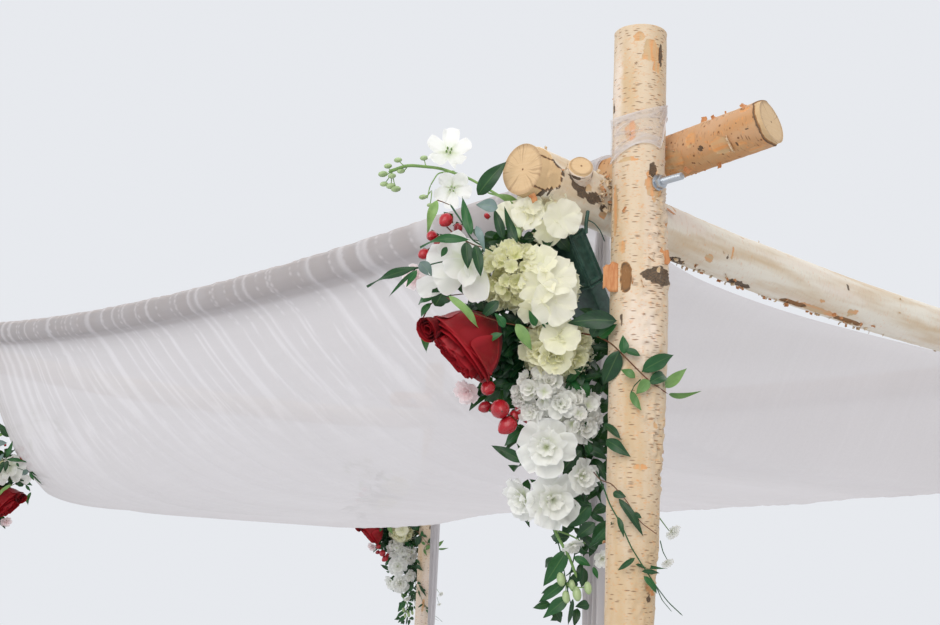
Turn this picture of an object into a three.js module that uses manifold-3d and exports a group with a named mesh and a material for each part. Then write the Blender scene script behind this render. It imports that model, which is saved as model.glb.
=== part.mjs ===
// Birch-log wedding canopy: four posts, four crossed rails bolted to them, a sheer canopy
// slung between the two long rails, and a cut-flower arrangement at each corner.
// Millimetres, +Z up. The origin is on the floor under the middle of the whole:
// X runs along the long rails, Y along the short rails, the front is at -Y.
import * as THREE from "three";
import { mergeVertices } from "three/addons/utils/BufferGeometryUtils.js";
import Module from "manifold-3d";

const wasm = await Module();
wasm.setup();

// Driving dimensions
const PLAN_X = 3000; // between post axes, along the long rails
const PLAN_Y = 1900; // between post axes, along the short rails
const POST_LENGTH = 2430;
const POST_RADIUS_FOOT = 33;
const POST_RADIUS_HEAD = 36;
const LONG_RAIL_RADIUS = 31;
const SHORT_RAIL_RADIUS = 37;
const LONG_STUB = 175; // how far a long rail runs past the post axis
const SHORT_STUB = 150; // how far a short rail runs past the post axis
const SHORT_RAIL_HEIGHT = 2195; // centre of a short rail where the long rail crosses it
const LONG_RAIL_BOW = 55; // sag of the middle of a long rail below its crossings
const SHORT_RAIL_BOW = 44;
const LEFT_RISE = 115; // how much higher the rails are bolted on the two left posts
const SEAT = 0.4; // gap left where two pieces touch

// Sizes that follow from them
const LONG_RAIL_HEIGHT = SHORT_RAIL_HEIGHT + SHORT_RAIL_RADIUS + LONG_RAIL_RADIUS + 2;
const POST_RADIUS_AT_RAILS = POST_RADIUS_HEAD - 0.3;
const SHORT_RAIL_INSET = POST_RADIUS_AT_RAILS + SHORT_RAIL_RADIUS + 1; // post axis to short rail
const LONG_RAIL_INSET = POST_RADIUS_AT_RAILS + LONG_RAIL_RADIUS + 1; // post axis to long rail
const CROSS_X = PLAN_X / 2 - SHORT_RAIL_INSET;
const CROSS_Y = PLAN_Y / 2 - LONG_RAIL_INSET;

// Sawn-off branch on the front stub of a short rail
const KNOT_RADIUS = 16;
const KNOT_PROUD = 8; // how far it stands out of the bark
const KNOT_FROM_POST = 47; // from the post axis towards the stub's end
const KNOT_LEAN = Math.PI * 0.28; // from level up to its axis

// Bolts
const ROD_RADIUS = 5;
const BORE_CLEARANCE = 0.3;
const BORE_REACH = 60; // half length of a bore, more than any log's radius
const NUT_RADIUS = 9.8; // across the corners of the hexagon
const NUT_HEIGHT = 8;
const WASHER_RADIUS = 11;
const WASHER_HEIGHT = 2;
const LONG_END = 34; // bare rod past the nut on the outer side of the post
const SHORT_END = 6;
const BLIND_DEPTH = 15; // how far a long rail's bolt runs past the post axis
const SHORT_RAIL_BOLT_HEIGHT = 2208;
const LONG_RAIL_BOLT_HEIGHT = LONG_RAIL_HEIGHT + 4;

// Canopy cloth
const WRAP_THICKNESS = 9;
const WRAP_END = CROSS_X - SHORT_RAIL_RADIUS - 4;
const CLOTH_HANG = LONG_RAIL_RADIUS + WRAP_THICKNESS + 3 * SEAT; // rail axis to what hangs under it
const SHEET_HALF_LENGTH = WRAP_END - 52;
const SHEET_THICKNESS = 5;
const EDGE_SAG = 75; // sag of the right-hand edge, which is pulled nearly straight
const EDGE_BLEND = 180; // distance over which the sheet drops from that edge
const RIGHT_SAG = 305; // sag of the sheet behind that edge
const MIDDLE_SAG = 342;
const LEFT_SAG = 458; // sag of the loose left-hand edge
const SAG_POWER = 4; // how flat the sheet's belly is
const TAIL_WIDTH = 46;
const TAIL_THICKNESS = 22;
const TAIL_LENGTH = 1060;
const TAIL_NARROWING = 0.2; // at its top and bottom
const TAIL_X = WRAP_END - TAIL_WIDTH / 2 - 2; // from the middle of the plan
const TIE_THICKNESS = 3;
const TIE_TOP = 2315; // middle of the slanting upper edge of the band round each post
const TIE_SLANT = 15;
const TIE_BOTTOM = 2250; // its lower edge, where it is spread over the outer side of the post
const TIE_BOTTOM_BY_RAIL = 2306; // its lower edge where it is gathered over the long rail

// Flower holders: a plastic cage with wet foam in it
const HOLDER_X = 74;
const HOLDER_Y = 70;
const HOLDER_Z = 108;
const HOLDER_TILT = 0.26; // sideways, its top away from the canopy, in radians
const HOLDER_HEIGHT = 2096; // middle of the cage
const HOLDER_SEAT = postRadius(HOLDER_HEIGHT + HOLDER_Z / 2) + SEAT; // post axis to its back
const HOLDER_SHIFT = -20; // middle of the cage, sideways from the post axis
const RIB = 4; // width and depth of a standing rib of the cage
const RIB_COUNT = 5;
const FLOWER_CLEARANCE = 3; // flowers to the post, rail and cage
const LEFT_DROP = 120; // how much nearer to the floor the flowers hang on the two left posts
const FRONT_LEFT_TURN = -1.25; // turns its flowers clear of the canopy, in radians

const birch = new THREE.MeshStandardMaterial({ color: 0xd9c4a0, roughness: 0.8 });
const paleBirch = new THREE.MeshStandardMaterial({ color: 0xe6dcc8, roughness: 0.75 });
const zinc = new THREE.MeshStandardMaterial({ color: 0x9aa0a6, roughness: 0.35, metalness: 1 });
const voile = new THREE.MeshStandardMaterial({ color: 0xe4e0e8, roughness: 0.9 });
const cage = new THREE.MeshStandardMaterial({ color: 0x16352a, roughness: 0.45 });
const petals = new THREE.MeshStandardMaterial({ color: 0xdfe3b8, roughness: 0.6 });
const redPetals = new THREE.MeshStandardMaterial({ color: 0x8c0f1c, roughness: 0.6 });
const whitePetals = new THREE.MeshStandardMaterial({ color: 0xf4f2ec, roughness: 0.6 });
const leaves = new THREE.MeshStandardMaterial({ color: 0x1f4a26, roughness: 0.5 });

// A closed geometry as a solid for joining and cutting.
function solid(geometry) {
  const bare = geometry.clone();
  bare.deleteAttribute("normal");
  bare.deleteAttribute("uv");
  const merged = mergeVertices(bare, 1e-4);
  return new wasm.Manifold(
    new wasm.Mesh({
      numProp: 3,
      vertProperties: merged.attributes.position.array,
      triVerts: new Uint32Array(merged.index.array),
    }),
  );
}

// The geometry of a solid.
function geometryOf(made) {
  const mesh = made.getMesh();
  return new THREE.BufferGeometry()
    .setAttribute("position", new THREE.BufferAttribute(mesh.vertProperties, 3))
    .setIndex(new THREE.BufferAttribute(mesh.triVerts, 1));
}

function named(name, geometry, material) {
  geometry.computeVertexNormals();
  const mesh = new THREE.Mesh(geometry, material);
  mesh.name = name;
  return mesh;
}

// Moves each vertex of a geometry to where a function puts it.
function reshape(geometry, move) {
  const position = geometry.attributes.position;
  const point = new THREE.Vector3();
  for (let i = 0; i < position.count; i++) {
    point.fromBufferAttribute(position, i);
    move(point);
    position.setXYZ(i, point.x, point.y, point.z);
  }
  return geometry;
}

// A log along +Z from 0 to its length, with its radius and the drift of its centre given along it.
function logGeometry(length, radiusAt, driftAt, steps, sides = 16) {
  const geometry = new THREE.CylinderGeometry(1, 1, length, sides, steps).rotateX(Math.PI / 2);
  return reshape(geometry, (p) => {
    const along = p.z + length / 2;
    const [driftX, driftY] = driftAt(along);
    const radius = radiusAt(along);
    p.set(p.x * radius + driftX, p.y * radius + driftY, along);
  });
}

// A round bar along X, Y or Z between two distances from the origin.
function bar(axis, radius, from, to, sides = 8) {
  const geometry = new THREE.CylinderGeometry(radius, radius, to - from, sides);
  geometry.translate(0, (from + to) / 2, 0);
  if (axis === "x") geometry.rotateZ(-Math.PI / 2);
  if (axis === "z") geometry.rotateX(Math.PI / 2);
  return geometry;
}

// Height of a rail's centre above its crossing height, at a distance from its middle.
function bowed(distance, crossing, bow) {
  return bow * ((distance / crossing) ** 2 - 1);
}

function longRailHeight(x) {
  const rise = (LEFT_RISE * (CROSS_X - x)) / (2 * CROSS_X);
  return LONG_RAIL_HEIGHT + bowed(x, CROSS_X, LONG_RAIL_BOW) + rise;
}

function shortRailHeight(y) {
  return SHORT_RAIL_HEIGHT + bowed(y, CROSS_Y, SHORT_RAIL_BOW);
}

function postRadius(z) {
  return THREE.MathUtils.lerp(POST_RADIUS_FOOT, POST_RADIUS_HEAD, (z / POST_LENGTH) ** 3);
}

// One post on its own axis, bored for its two bolts, with its foot that much lower.
function postGeometry(lower) {
  const radiusAt = (along) => postRadius(along - lower);
  const log = solid(logGeometry(POST_LENGTH + lower, radiusAt, () => [0, 0], 8).translate(0, 0, -lower));
  const bore = ROD_RADIUS + BORE_CLEARANCE;
  const shortBore = bar("x", bore, -BORE_REACH, BORE_REACH).translate(0, 0, SHORT_RAIL_BOLT_HEIGHT);
  const longBore = bar("y", bore, -(BLIND_DEPTH + SEAT), BORE_REACH);
  longBore.translate(0, 0, LONG_RAIL_BOLT_HEIGHT);
  return geometryOf(log.subtract(solid(shortBore)).subtract(solid(longBore)));
}

// A long rail along X through the origin of its group, bored at both posts.
function longRailGeometry() {
  const length = PLAN_X + 2 * LONG_STUB;
  const drift = (along) => [0, longRailHeight(along - length / 2)];
  const geometry = logGeometry(length, () => LONG_RAIL_RADIUS, drift, 16);
  geometry.applyMatrix4(new THREE.Matrix4().makeBasis(
    new THREE.Vector3(0, 1, 0),
    new THREE.Vector3(0, 0, 1),
    new THREE.Vector3(1, 0, 0),
  ));
  geometry.translate(-length / 2, 0, 0);
  let log = solid(geometry);
  for (const [side, rise] of [[-1, LEFT_RISE], [1, 0]]) {
    const bore = bar("y", ROD_RADIUS + BORE_CLEARANCE, -BORE_REACH, BORE_REACH);
    log = log.subtract(solid(bore.translate((side * PLAN_X) / 2, 0, LONG_RAIL_BOLT_HEIGHT + rise)));
  }
  return geometryOf(log);
}

// A short rail along Y through the origin of its group, bored at both posts.
function shortRailGeometry() {
  const length = PLAN_Y + 2 * SHORT_STUB;
  const drift = (along) => [0, shortRailHeight(length / 2 - along)];
  const geometry = logGeometry(length, () => SHORT_RAIL_RADIUS, drift, 12);
  geometry.applyMatrix4(new THREE.Matrix4().makeBasis(
    new THREE.Vector3(1, 0, 0),
    new THREE.Vector3(0, 0, 1),
    new THREE.Vector3(0, -1, 0),
  ));
  geometry.translate(0, length / 2, 0);
  const knot = bar("x", KNOT_RADIUS, 0, SHORT_RAIL_RADIUS + KNOT_PROUD, 12).rotateY(-KNOT_LEAN);
  const knotY = -PLAN_Y / 2 - KNOT_FROM_POST;
  let log = solid(geometry).add(solid(knot.translate(0, knotY, shortRailHeight(knotY))));
  for (const side of [-1, 1]) {
    const bore = bar("x", ROD_RADIUS + BORE_CLEARANCE, -BORE_REACH, BORE_REACH);
    log = log.subtract(solid(bore.translate(0, (side * PLAN_Y) / 2, SHORT_RAIL_BOLT_HEIGHT)));
  }
  return geometryOf(log);
}

// A rod with a washer and a nut added on one face of the logs, outwards along the axis.
function withNut(rod, axis, face, side) {
  const washerEnd = face + side * WASHER_HEIGHT;
  const nutEnd = washerEnd + side * NUT_HEIGHT;
  const washer = bar(axis, WASHER_RADIUS, Math.min(face, washerEnd), Math.max(face, washerEnd), 12);
  const nut = bar(axis, NUT_RADIUS, Math.min(face, nutEnd), Math.max(face, nutEnd), 6);
  return rod.add(solid(washer)).add(solid(nut));
}

// The threaded rod along X that clamps a short rail to the post, with a nut at each end.
function shortBoltGeometry() {
  const stack = WASHER_HEIGHT + NUT_HEIGHT;
  const outer = POST_RADIUS_AT_RAILS + SEAT;
  const far = -(SHORT_RAIL_INSET + SHORT_RAIL_RADIUS + SEAT);
  const rod = solid(bar("x", ROD_RADIUS, far - stack - SHORT_END, outer + stack + LONG_END));
  return geometryOf(withNut(withNut(rod, "x", outer, 1), "x", far, -1));
}

// The bolt along Y that holds a long rail: it ends inside the post.
function longBoltGeometry() {
  const outer = LONG_RAIL_INSET + LONG_RAIL_RADIUS + SEAT;
  const end = outer + WASHER_HEIGHT + NUT_HEIGHT + SHORT_END;
  const rod = solid(bar("y", ROD_RADIUS, -BLIND_DEPTH, end));
  return geometryOf(withNut(rod, "y", outer, 1));
}

// The cloth wound round a long rail between the short rails.
function wrapGeometry() {
  const sleeve = (radius, end) => {
    const drift = (along) => [0, longRailHeight(along - end)];
    const geometry = logGeometry(2 * end, () => radius, drift, 12);
    geometry.applyMatrix4(new THREE.Matrix4().makeBasis(
      new THREE.Vector3(0, 1, 0),
      new THREE.Vector3(0, 0, 1),
      new THREE.Vector3(1, 0, 0),
    ));
    return solid(geometry.translate(-end, 0, 0));
  };
  const inner = LONG_RAIL_RADIUS + 2 * SEAT;
  const through = WRAP_END + 20;
  return geometryOf(sleeve(inner + WRAP_THICKNESS, WRAP_END).subtract(sleeve(inner, through)));
}

// How far the middle of the sheet hangs below the long rails, along X.
function sagAt(x) {
  const { lerp, smoothstep } = THREE.MathUtils;
  const inward = SHEET_HALF_LENGTH - x;
  const body =
    x > 0
      ? lerp(RIGHT_SAG, MIDDLE_SAG, smoothstep(inward, 0, SHEET_HALF_LENGTH))
      : lerp(MIDDLE_SAG, LEFT_SAG, smoothstep(-x, 0, SHEET_HALF_LENGTH));
  return lerp(EDGE_SAG, body, smoothstep(inward, 0, EDGE_BLEND));
}

// Turns the diagonals of a box's lower face, so that it bends where its upper face does.
function matchDiagonals(box) {
  const lower = box.groups[5];
  const index = box.index.array;
  for (let i = lower.start; i < lower.start + lower.count; i += 6) {
    const [a, b, d, , c] = index.slice(i, i + 5);
    index.set([a, b, c, a, c, d], i);
  }
  return box;
}

// The sheet slung between the undersides of the two wraps. Its rows are closer at the right,
// where it drops steeply.
function canopyGeometry() {
  const length = 2 * SHEET_HALF_LENGTH;
  const crowding = 1.7;
  const geometry = matchDiagonals(new THREE.BoxGeometry(1, 2, 1, 20, 14, 1));
  return reshape(geometry, (p) => {
    const x = SHEET_HALF_LENGTH - length * (0.5 - p.x) ** crowding;
    const drop = sagAt(x) * (1 - Math.abs(p.y) ** SAG_POWER);
    const top = longRailHeight(x) - CLOTH_HANG - drop;
    p.set(x, p.y * CROSS_Y, top + (p.z - 0.5) * SHEET_THICKNESS);
  });
}

// The loose end of the cloth that hangs at a corner, widest in the middle and slightly swayed.
function tailGeometry() {
  const sway = 6;
  const geometry = new THREE.BoxGeometry(TAIL_WIDTH, TAIL_THICKNESS, TAIL_LENGTH, 1, 1, 10);
  return reshape(geometry, (p) => {
    const down = 0.5 - p.z / TAIL_LENGTH;
    const width = 1 - TAIL_NARROWING + TAIL_NARROWING * Math.sin(down * Math.PI);
    p.x *= width;
    p.y = p.y * width + sway * Math.sin(down * 2 * Math.PI);
  });
}

// The band of cloth round a post: spread over its outer side, gathered above the long rail at +Y.
function tieGeometry() {
  const inner = POST_RADIUS_AT_RAILS + SEAT;
  const outer = inner + TIE_THICKNESS;
  const profile = [
    new THREE.Vector2(inner, -1),
    new THREE.Vector2(outer, -1),
    new THREE.Vector2(outer, 1),
    new THREE.Vector2(inner, 1),
    new THREE.Vector2(inner, -1),
  ];
  const band = new THREE.LatheGeometry(profile, 16).rotateX(Math.PI / 2);
  return reshape(band, (p) => {
    const towardsRail = p.y / Math.hypot(p.x, p.y);
    const gathered = THREE.MathUtils.smoothstep(towardsRail, 0, 0.5);
    const bottom = THREE.MathUtils.lerp(TIE_BOTTOM, TIE_BOTTOM_BY_RAIL, gathered);
    p.z = p.z > 0 ? TIE_TOP + TIE_SLANT * towardsRail : bottom;
  });
}

// Lumps are ellipsoids: centre x, y, z and radii x, y, z, from the post axis at the floor.
const BLOOM_LUMPS = [
  [-104, -98, 2068, 62, 58, 54], // large hydrangea head
  [-84, -84, 1990, 46, 44, 44], // smaller hydrangea head
  [-176, -136, 2090, 46, 40, 42], // white bloom
  [-96, -112, 2122, 46, 40, 28], // florets under the rail
];
const ROSE_LUMPS = [[-186, -128, 2006, 54, 50, 52]];
const STOCK_LUMPS = [
  [-100, -84, 1920, 44, 40, 52],
  [-106, -74, 1850, 46, 42, 50],
  [-112, -62, 1788, 40, 38, 44],
  [-118, -30, 1716, 20, 22, 56],
];
const FOLIAGE_LUMPS = [
  [-272, -194, 2136, 40, 16, 22], // leaves reaching to the left
  [-260, -196, 2222, 26, 22, 24], // flowering tip of the stock stem
  [-242, -180, 2184, 26, 22, 40],
  [-216, -156, 2154, 44, 34, 24], // leaves over the white bloom
  [-182, -110, 2160, 42, 42, 26],
  [-146, -66, 2144, 44, 42, 30],
  [-112, -30, 2120, 26, 30, 32],
  [-110, -26, 2062, 28, 34, 50],
  [-86, -30, 1990, 34, 40, 62], // leaves between the blooms and the post
  [-80, -26, 1900, 30, 34, 70],
  [-92, -12, 1800, 24, 26, 70],
  [-110, 6, 1712, 26, 24, 60], // trailing end
];

// A solid made of overlapping ellipsoids, each grown by an allowance.
function lumps(list, grow = 0) {
  return list
    .map(([x, y, z, rx, ry, rz]) => {
      const ball = new THREE.SphereGeometry(1, 8, 5).rotateX(Math.PI / 2);
      ball.scale(rx + grow, ry + grow, rz + grow).translate(x, y, z);
      return solid(ball);
    })
    .reduce((all, one) => all.add(one));
}

// The largest piece of a solid, without the slivers that a cut leaves.
function mainPiece(made) {
  return made.decompose().reduce((largest, one) => (one.volume() > largest.volume() ? one : largest));
}

// Tilts a piece of the cage that is made round the origin, and puts it in its place.
function hungHolder(geometry) {
  const x = -(HOLDER_SEAT + HOLDER_X / 2);
  return geometry.rotateX(HOLDER_TILT).translate(x, HOLDER_SHIFT, HOLDER_HEIGHT);
}

function holderBox(grow = 0) {
  return hungHolder(new THREE.BoxGeometry(HOLDER_X + 2 * grow, HOLDER_Y + 2 * grow, HOLDER_Z + 2 * grow));
}

// The cage: a box with standing ribs, hung against the post under the rails.
function holderGeometry() {
  let made = solid(holderBox());
  const x = -(HOLDER_X / 2 + RIB / 4);
  for (let i = 0; i < RIB_COUNT; i++) {
    const y = (i / (RIB_COUNT - 1) - 0.5) * (HOLDER_Y - 2 * RIB);
    const rib = new THREE.BoxGeometry(RIB, RIB, HOLDER_Z);
    made = made.add(solid(hungHolder(rib.translate(x, y, 0))));
  }
  return geometryOf(made);
}

// The flowers and leaves of an arrangement, each cut clear of the ones before it.
function arrangementParts() {
  const post = bar("z", POST_RADIUS_HEAD + FLOWER_CLEARANCE / 2, 0, POST_LENGTH, 16);
  const stubEnd = SHORT_STUB + 20;
  const stubHeight = shortRailHeight(PLAN_Y / 2 + SHORT_STUB / 2);
  const rail = bar("y", SHORT_RAIL_RADIUS + FLOWER_CLEARANCE, -stubEnd, stubEnd, 16);
  rail.translate(-SHORT_RAIL_INSET, 0, stubHeight);
  let taken = solid(post).add(solid(rail)).add(solid(holderBox(SEAT + FLOWER_CLEARANCE)));
  const made = {};
  for (const [name, list] of [
    ["blooms", BLOOM_LUMPS],
    ["rose", ROSE_LUMPS],
    ["stock", STOCK_LUMPS],
    ["foliage", FOLIAGE_LUMPS],
  ]) {
    made[name] = geometryOf(mainPiece(lumps(list).subtract(taken)));
    taken = taken.add(lumps(list, SEAT));
  }
  return made;
}

const frame = new THREE.Group();

// Corners: where each stands in the plan, and how its flowers hang. All of them reach to -X
// unless they are turned, and a hand of -1 mirrors them in Y.
const corners = [
  { name: "front_right", sideX: 1, sideY: -1, rise: 0, hand: 1, drop: 0, turn: 0 },
  { name: "front_left", sideX: -1, sideY: -1, rise: LEFT_RISE, hand: -1, drop: LEFT_DROP, turn: FRONT_LEFT_TURN },
  { name: "back_left", sideX: -1, sideY: 1, rise: LEFT_RISE, hand: 1, drop: LEFT_DROP, turn: 0 },
  { name: "back_right", sideX: 1, sideY: 1, rise: 0, hand: -1, drop: 0, turn: 0 },
];

const flowerParts = arrangementParts();

for (const { name, sideX, sideY, rise, hand, drop, turn } of corners) {
  const corner = new THREE.Group();
  corner.position.set((sideX * PLAN_X) / 2, (sideY * PLAN_Y) / 2, rise);
  corner.scale.set(sideX, -sideY, 1);

  corner.add(named("post_" + name, postGeometry(rise), birch));

  const shortBolt = named("bolt_short_rail_" + name, shortBoltGeometry(), zinc);
  shortBolt.position.z = SHORT_RAIL_BOLT_HEIGHT;
  corner.add(shortBolt);

  const longBolt = named("bolt_long_rail_" + name, longBoltGeometry(), zinc);
  longBolt.position.z = LONG_RAIL_BOLT_HEIGHT;
  corner.add(longBolt);

  corner.add(named("tie_" + name, tieGeometry(), voile));

  const tail = named("tail_" + name, tailGeometry(), voile);
  const tailInnerEdge = TAIL_X - ((1 - TAIL_NARROWING) * TAIL_WIDTH) / 2;
  tail.position.set(
    TAIL_X - PLAN_X / 2,
    LONG_RAIL_INSET,
    longRailHeight(sideX * tailInnerEdge) - rise - CLOTH_HANG - TAIL_LENGTH / 2,
  );
  corner.add(tail);
  frame.add(corner);

  const flowers = new THREE.Group();
  flowers.position.copy(corner.position).setZ(-drop);
  flowers.rotation.z = turn;
  flowers.scale.y = hand;
  // the post is thinner lower down, so the cage is moved up to it
  flowers.translateX(postRadius(HOLDER_HEIGHT) - postRadius(HOLDER_HEIGHT - drop - rise));
  flowers.add(named("holder_" + name, holderGeometry(), cage));
  flowers.add(named("blooms_" + name, flowerParts.blooms.clone(), petals));
  flowers.add(named("rose_" + name, flowerParts.rose.clone(), redPetals));
  flowers.add(named("stock_" + name, flowerParts.stock.clone(), whitePetals));
  flowers.add(named("foliage_" + name, flowerParts.foliage.clone(), leaves));
  frame.add(flowers);
}

// Long rails, front and back, and the cloth wound round them
for (const [name, side] of [["front", -1], ["back", 1]]) {
  const run = new THREE.Group();
  run.position.y = side * CROSS_Y;
  run.add(named("rail_long_" + name, longRailGeometry(), birch));
  run.add(named("wrap_" + name, wrapGeometry(), voile));
  frame.add(run);
}

// Short rails; the left one is the right one turned half round
for (const [name, side, rise, turn] of [["left", -1, LEFT_RISE, Math.PI], ["right", 1, 0, 0]]) {
  const rail = named("rail_short_" + name, shortRailGeometry(), paleBirch);
  rail.position.set(side * CROSS_X, 0, rise);
  rail.rotation.z = turn;
  frame.add(rail);
}

frame.add(named("canopy_sheet", canopyGeometry(), voile));

// The arrangements reach further out on the left than on the right, so the frame is moved
// until the origin is under the middle of the whole
const canopy = new THREE.Group();
canopy.add(frame);
const whole = new THREE.Box3().setFromObject(canopy, true);
frame.position.x = -(whole.min.x + whole.max.x) / 2;
frame.position.y = -(whole.min.y + whole.max.y) / 2;

export default canopy;
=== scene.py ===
"""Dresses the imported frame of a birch-log wedding canopy: bark and sawn ends, bolts, sheer cloth
slung between the long rails, and a cut-flower arrangement hanging at each corner."""

import math

import bpy
import numpy as np
from mathutils import Matrix, Vector


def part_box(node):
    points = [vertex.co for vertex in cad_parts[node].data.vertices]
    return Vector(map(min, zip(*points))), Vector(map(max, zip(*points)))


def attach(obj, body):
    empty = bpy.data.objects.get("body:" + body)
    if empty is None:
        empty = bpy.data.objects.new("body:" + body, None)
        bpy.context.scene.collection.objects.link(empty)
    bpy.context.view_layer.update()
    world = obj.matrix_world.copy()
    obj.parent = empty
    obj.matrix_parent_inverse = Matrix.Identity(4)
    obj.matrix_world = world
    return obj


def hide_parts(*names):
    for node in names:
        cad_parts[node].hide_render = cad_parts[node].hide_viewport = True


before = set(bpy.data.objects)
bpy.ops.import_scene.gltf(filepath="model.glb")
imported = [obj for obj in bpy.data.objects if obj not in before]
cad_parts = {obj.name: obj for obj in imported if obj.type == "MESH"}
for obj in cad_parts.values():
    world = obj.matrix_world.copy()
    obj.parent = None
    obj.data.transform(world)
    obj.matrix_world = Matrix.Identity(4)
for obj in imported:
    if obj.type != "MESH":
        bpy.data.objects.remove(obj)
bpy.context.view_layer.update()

bl_info = {
    "name": "Birch wedding canopy",
    "version": (1, 0, 0),
    "blender": (4, 5, 0),
    "location": "View3D > Sidebar > Canopy",
    "description": "Models the bark, cloth, bolts and flowers of a birch-log wedding canopy",
    "category": "Add Mesh",
}

MM = 0.001
TURN = 2 * math.pi
CORNERS = ("front_right", "front_left", "back_left", "back_right")

# The logs, as the frame has them
POST_RADIUS_FOOT = 33 * MM
POST_RADIUS_HEAD = 36 * MM
LONG_RADIUS = 31 * MM
SHORT_RADIUS = 37 * MM
BRANCH_RADIUS = 16 * MM
BRANCH_LENGTH = 58 * MM
BRANCH_END = 100 * MM  # from the end of the rail to the branch
BRANCH_RUN = (0.792, -0.495, 0.358)  # of the right-hand one
LONG_BOW = 55 * MM  # sag of a long rail's middle below its crossings
LOG_ANGLE = 50  # degrees between faces up to which a log is shaded smooth
SCRAP_THICKNESS = 0.5 * MM
ALL_ROUND = (-180, 180)

# The bolts
ROD_RADIUS = 5 * MM
WASHER, NUT = 2 * MM, 8 * MM  # thickness
BOLT_END, BOLT_STUB = 34 * MM, 6 * MM  # rod past the nut, at the long end and at the other ones
ROD_MODEL_LENGTH = 60 * MM

# How far the cloth hangs: its right-hand edge, behind that edge, in the middle and at the left
EDGE_SAG, RIGHT_SAG, MIDDLE_SAG, LEFT_SAG = 75 * MM, 305 * MM, 342 * MM, 458 * MM
EDGE_BLEND = 180 * MM
LEFT_FLARE = 120 * MM  # how much wider the loose edge is between the rails than at them
SAG_POWER, LEFT_SAG_POWER = 4, 7

# The flowers of each corner, as the frame has them: hand, drop in metres and turn in radians
HANG = {
    "front_right": (1, 0.0, 0.0),
    "front_left": (-1, 0.120, -1.25),
    "back_left": (1, 0.120, 0.0),
    "back_right": (-1, 0.0, 0.0),
}
FAR_SHARE = 0.32  # of the faces of an arrangement, kept at the three far corners
CAGE_LEAN = 0.58  # radians
CAGE_BASKET = 47 * MM  # plain lower part under the framed one
CAGE_RIM = 3 * MM
CAGE_SHIFT = (-18 * MM, 0, 0)


def length_property(name, description, default, least=0.0):
    return bpy.props.FloatProperty(
        name=name, description=description, default=default, unit="LENGTH", min=least
    )


class CanopySizes(bpy.types.PropertyGroup):
    """Sizes of the finish that a user may change."""

    swell: length_property("Swell", "How far a log is out of round", 1.1 * MM)
    bark: length_property("Bark", "Thickness of the outer bark", 2.0 * MM)
    fold: length_property("Fold", "Depth of the folds across the sheet", 9 * MM)
    thread_pitch: length_property("Thread pitch", "Rise of the bolts' thread in a turn", 1.5 * MM, 0.1 * MM)
    lens: bpy.props.FloatProperty(
        name="Lens", description="Focal length of the camera", default=49.9, unit="CAMERA", min=1
    )


def colour_property(name, description, default):
    return bpy.props.FloatVectorProperty(
        name=name, description=description, default=default, subtype="COLOR", size=3, min=0, max=1
    )


class CanopyColours(bpy.types.PropertyGroup):
    """Colours of the finishes that a user may change."""

    bark_cream: colour_property("Bark, cream", "Ground colour of the posts' bark", (0.62, 0.50, 0.36))
    bark_tan: colour_property("Bark, tan", "Yellowish zones of the bark", (0.53, 0.37, 0.20))
    bark_pink: colour_property("Bark, pink", "Pale pinkish zones of the bark", (0.73, 0.63, 0.54))
    bark_pale: colour_property("Bark, pale", "Ground colour of the short rails' bark", (0.74, 0.69, 0.59))
    bark_orange: colour_property("Bark, orange", "Fresh inner bark where it is torn", (0.66, 0.29, 0.10))
    bark_brown: colour_property("Bark, brown", "Dashes and edges of the bark", (0.16, 0.07, 0.03))
    # bark_dark is also the colour of the painted shadow in the gaps under lifted bark edges
    bark_dark: colour_property("Bark, dark", "Knots and hollows", (0.055, 0.042, 0.032))
    wood: colour_property("Wood", "Sawn ends", (0.62, 0.43, 0.24))
    # The cloth's colour in the valleys of its folds, where it is darker partly as painted shade
    cloth: colour_property("Cloth", "Sheer cloth between its folds", (0.548, 0.524, 0.520))
    zinc: colour_property("Zinc", "Bolts, nuts and washers", (0.50, 0.54, 0.58))
    floor: colour_property("Floor", "Plain floor", (0.80, 0.80, 0.82))


# Noise for shapes

NOISE_SIZE = 4096
NOISE_TABLE = np.random.default_rng(11).uniform(-1, 1, NOISE_SIZE)
NOISE_STRIDES = (73856093, 19349663, 83492791, 26544357)


def lattice(i, j, k, seed):
    a, b, c, d = NOISE_STRIDES
    return NOISE_TABLE[(i * a ^ j * b ^ k * c ^ seed * d) & (NOISE_SIZE - 1)]


def noise(x, y, z=0.0, seed=0):
    """Smooth noise from -1 to 1, with one lump to the unit."""
    x, y, z = np.broadcast_arrays(x, y, z)
    cells = [np.floor(a).astype(np.int64) for a in (x, y, z)]
    ease = [(a - c) ** 2 * (3 - 2 * (a - c)) for a, c in zip((x, y, z), cells)]
    total = np.zeros(x.shape)
    for dx in (0, 1):
        for dy in (0, 1):
            for dz in (0, 1):
                weight = (ease[0] if dx else 1 - ease[0]) * (ease[1] if dy else 1 - ease[1])
                weight = weight * (ease[2] if dz else 1 - ease[2])
                total += weight * lattice(cells[0] + dx, cells[1] + dy, cells[2] + dz, seed)
    return total


def fractal(x, y, z=0.0, seed=0, octaves=3):
    return sum(noise(x * 2**n, y * 2**n, z * 2**n, seed + n) / 2**n for n in range(octaves))


def smooth(value, low=0.0, high=1.0):
    """0 below low, 1 above high, and eased between them."""
    t = np.clip((value - low) / (high - low), 0, 1)
    return t * t * (3 - 2 * t)


def mix(a, b, share):
    return a + (b - a) * share


# Modelling by operators


def deselect():
    bpy.ops.object.select_all(action="DESELECT")


def choose(*pieces):
    """Selects these pieces alone, with the first one active."""
    deselect()
    for piece in pieces:
        piece.select_set(True)
    bpy.context.view_layer.objects.active = pieces[0]


def edit(piece, *steps):
    """Runs edit-mode steps on all of a piece."""
    choose(piece)
    bpy.ops.object.mode_set(mode="EDIT")
    bpy.ops.mesh.select_all(action="SELECT")
    for step in steps:
        step()
    bpy.ops.object.mode_set(mode="OBJECT")


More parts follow.
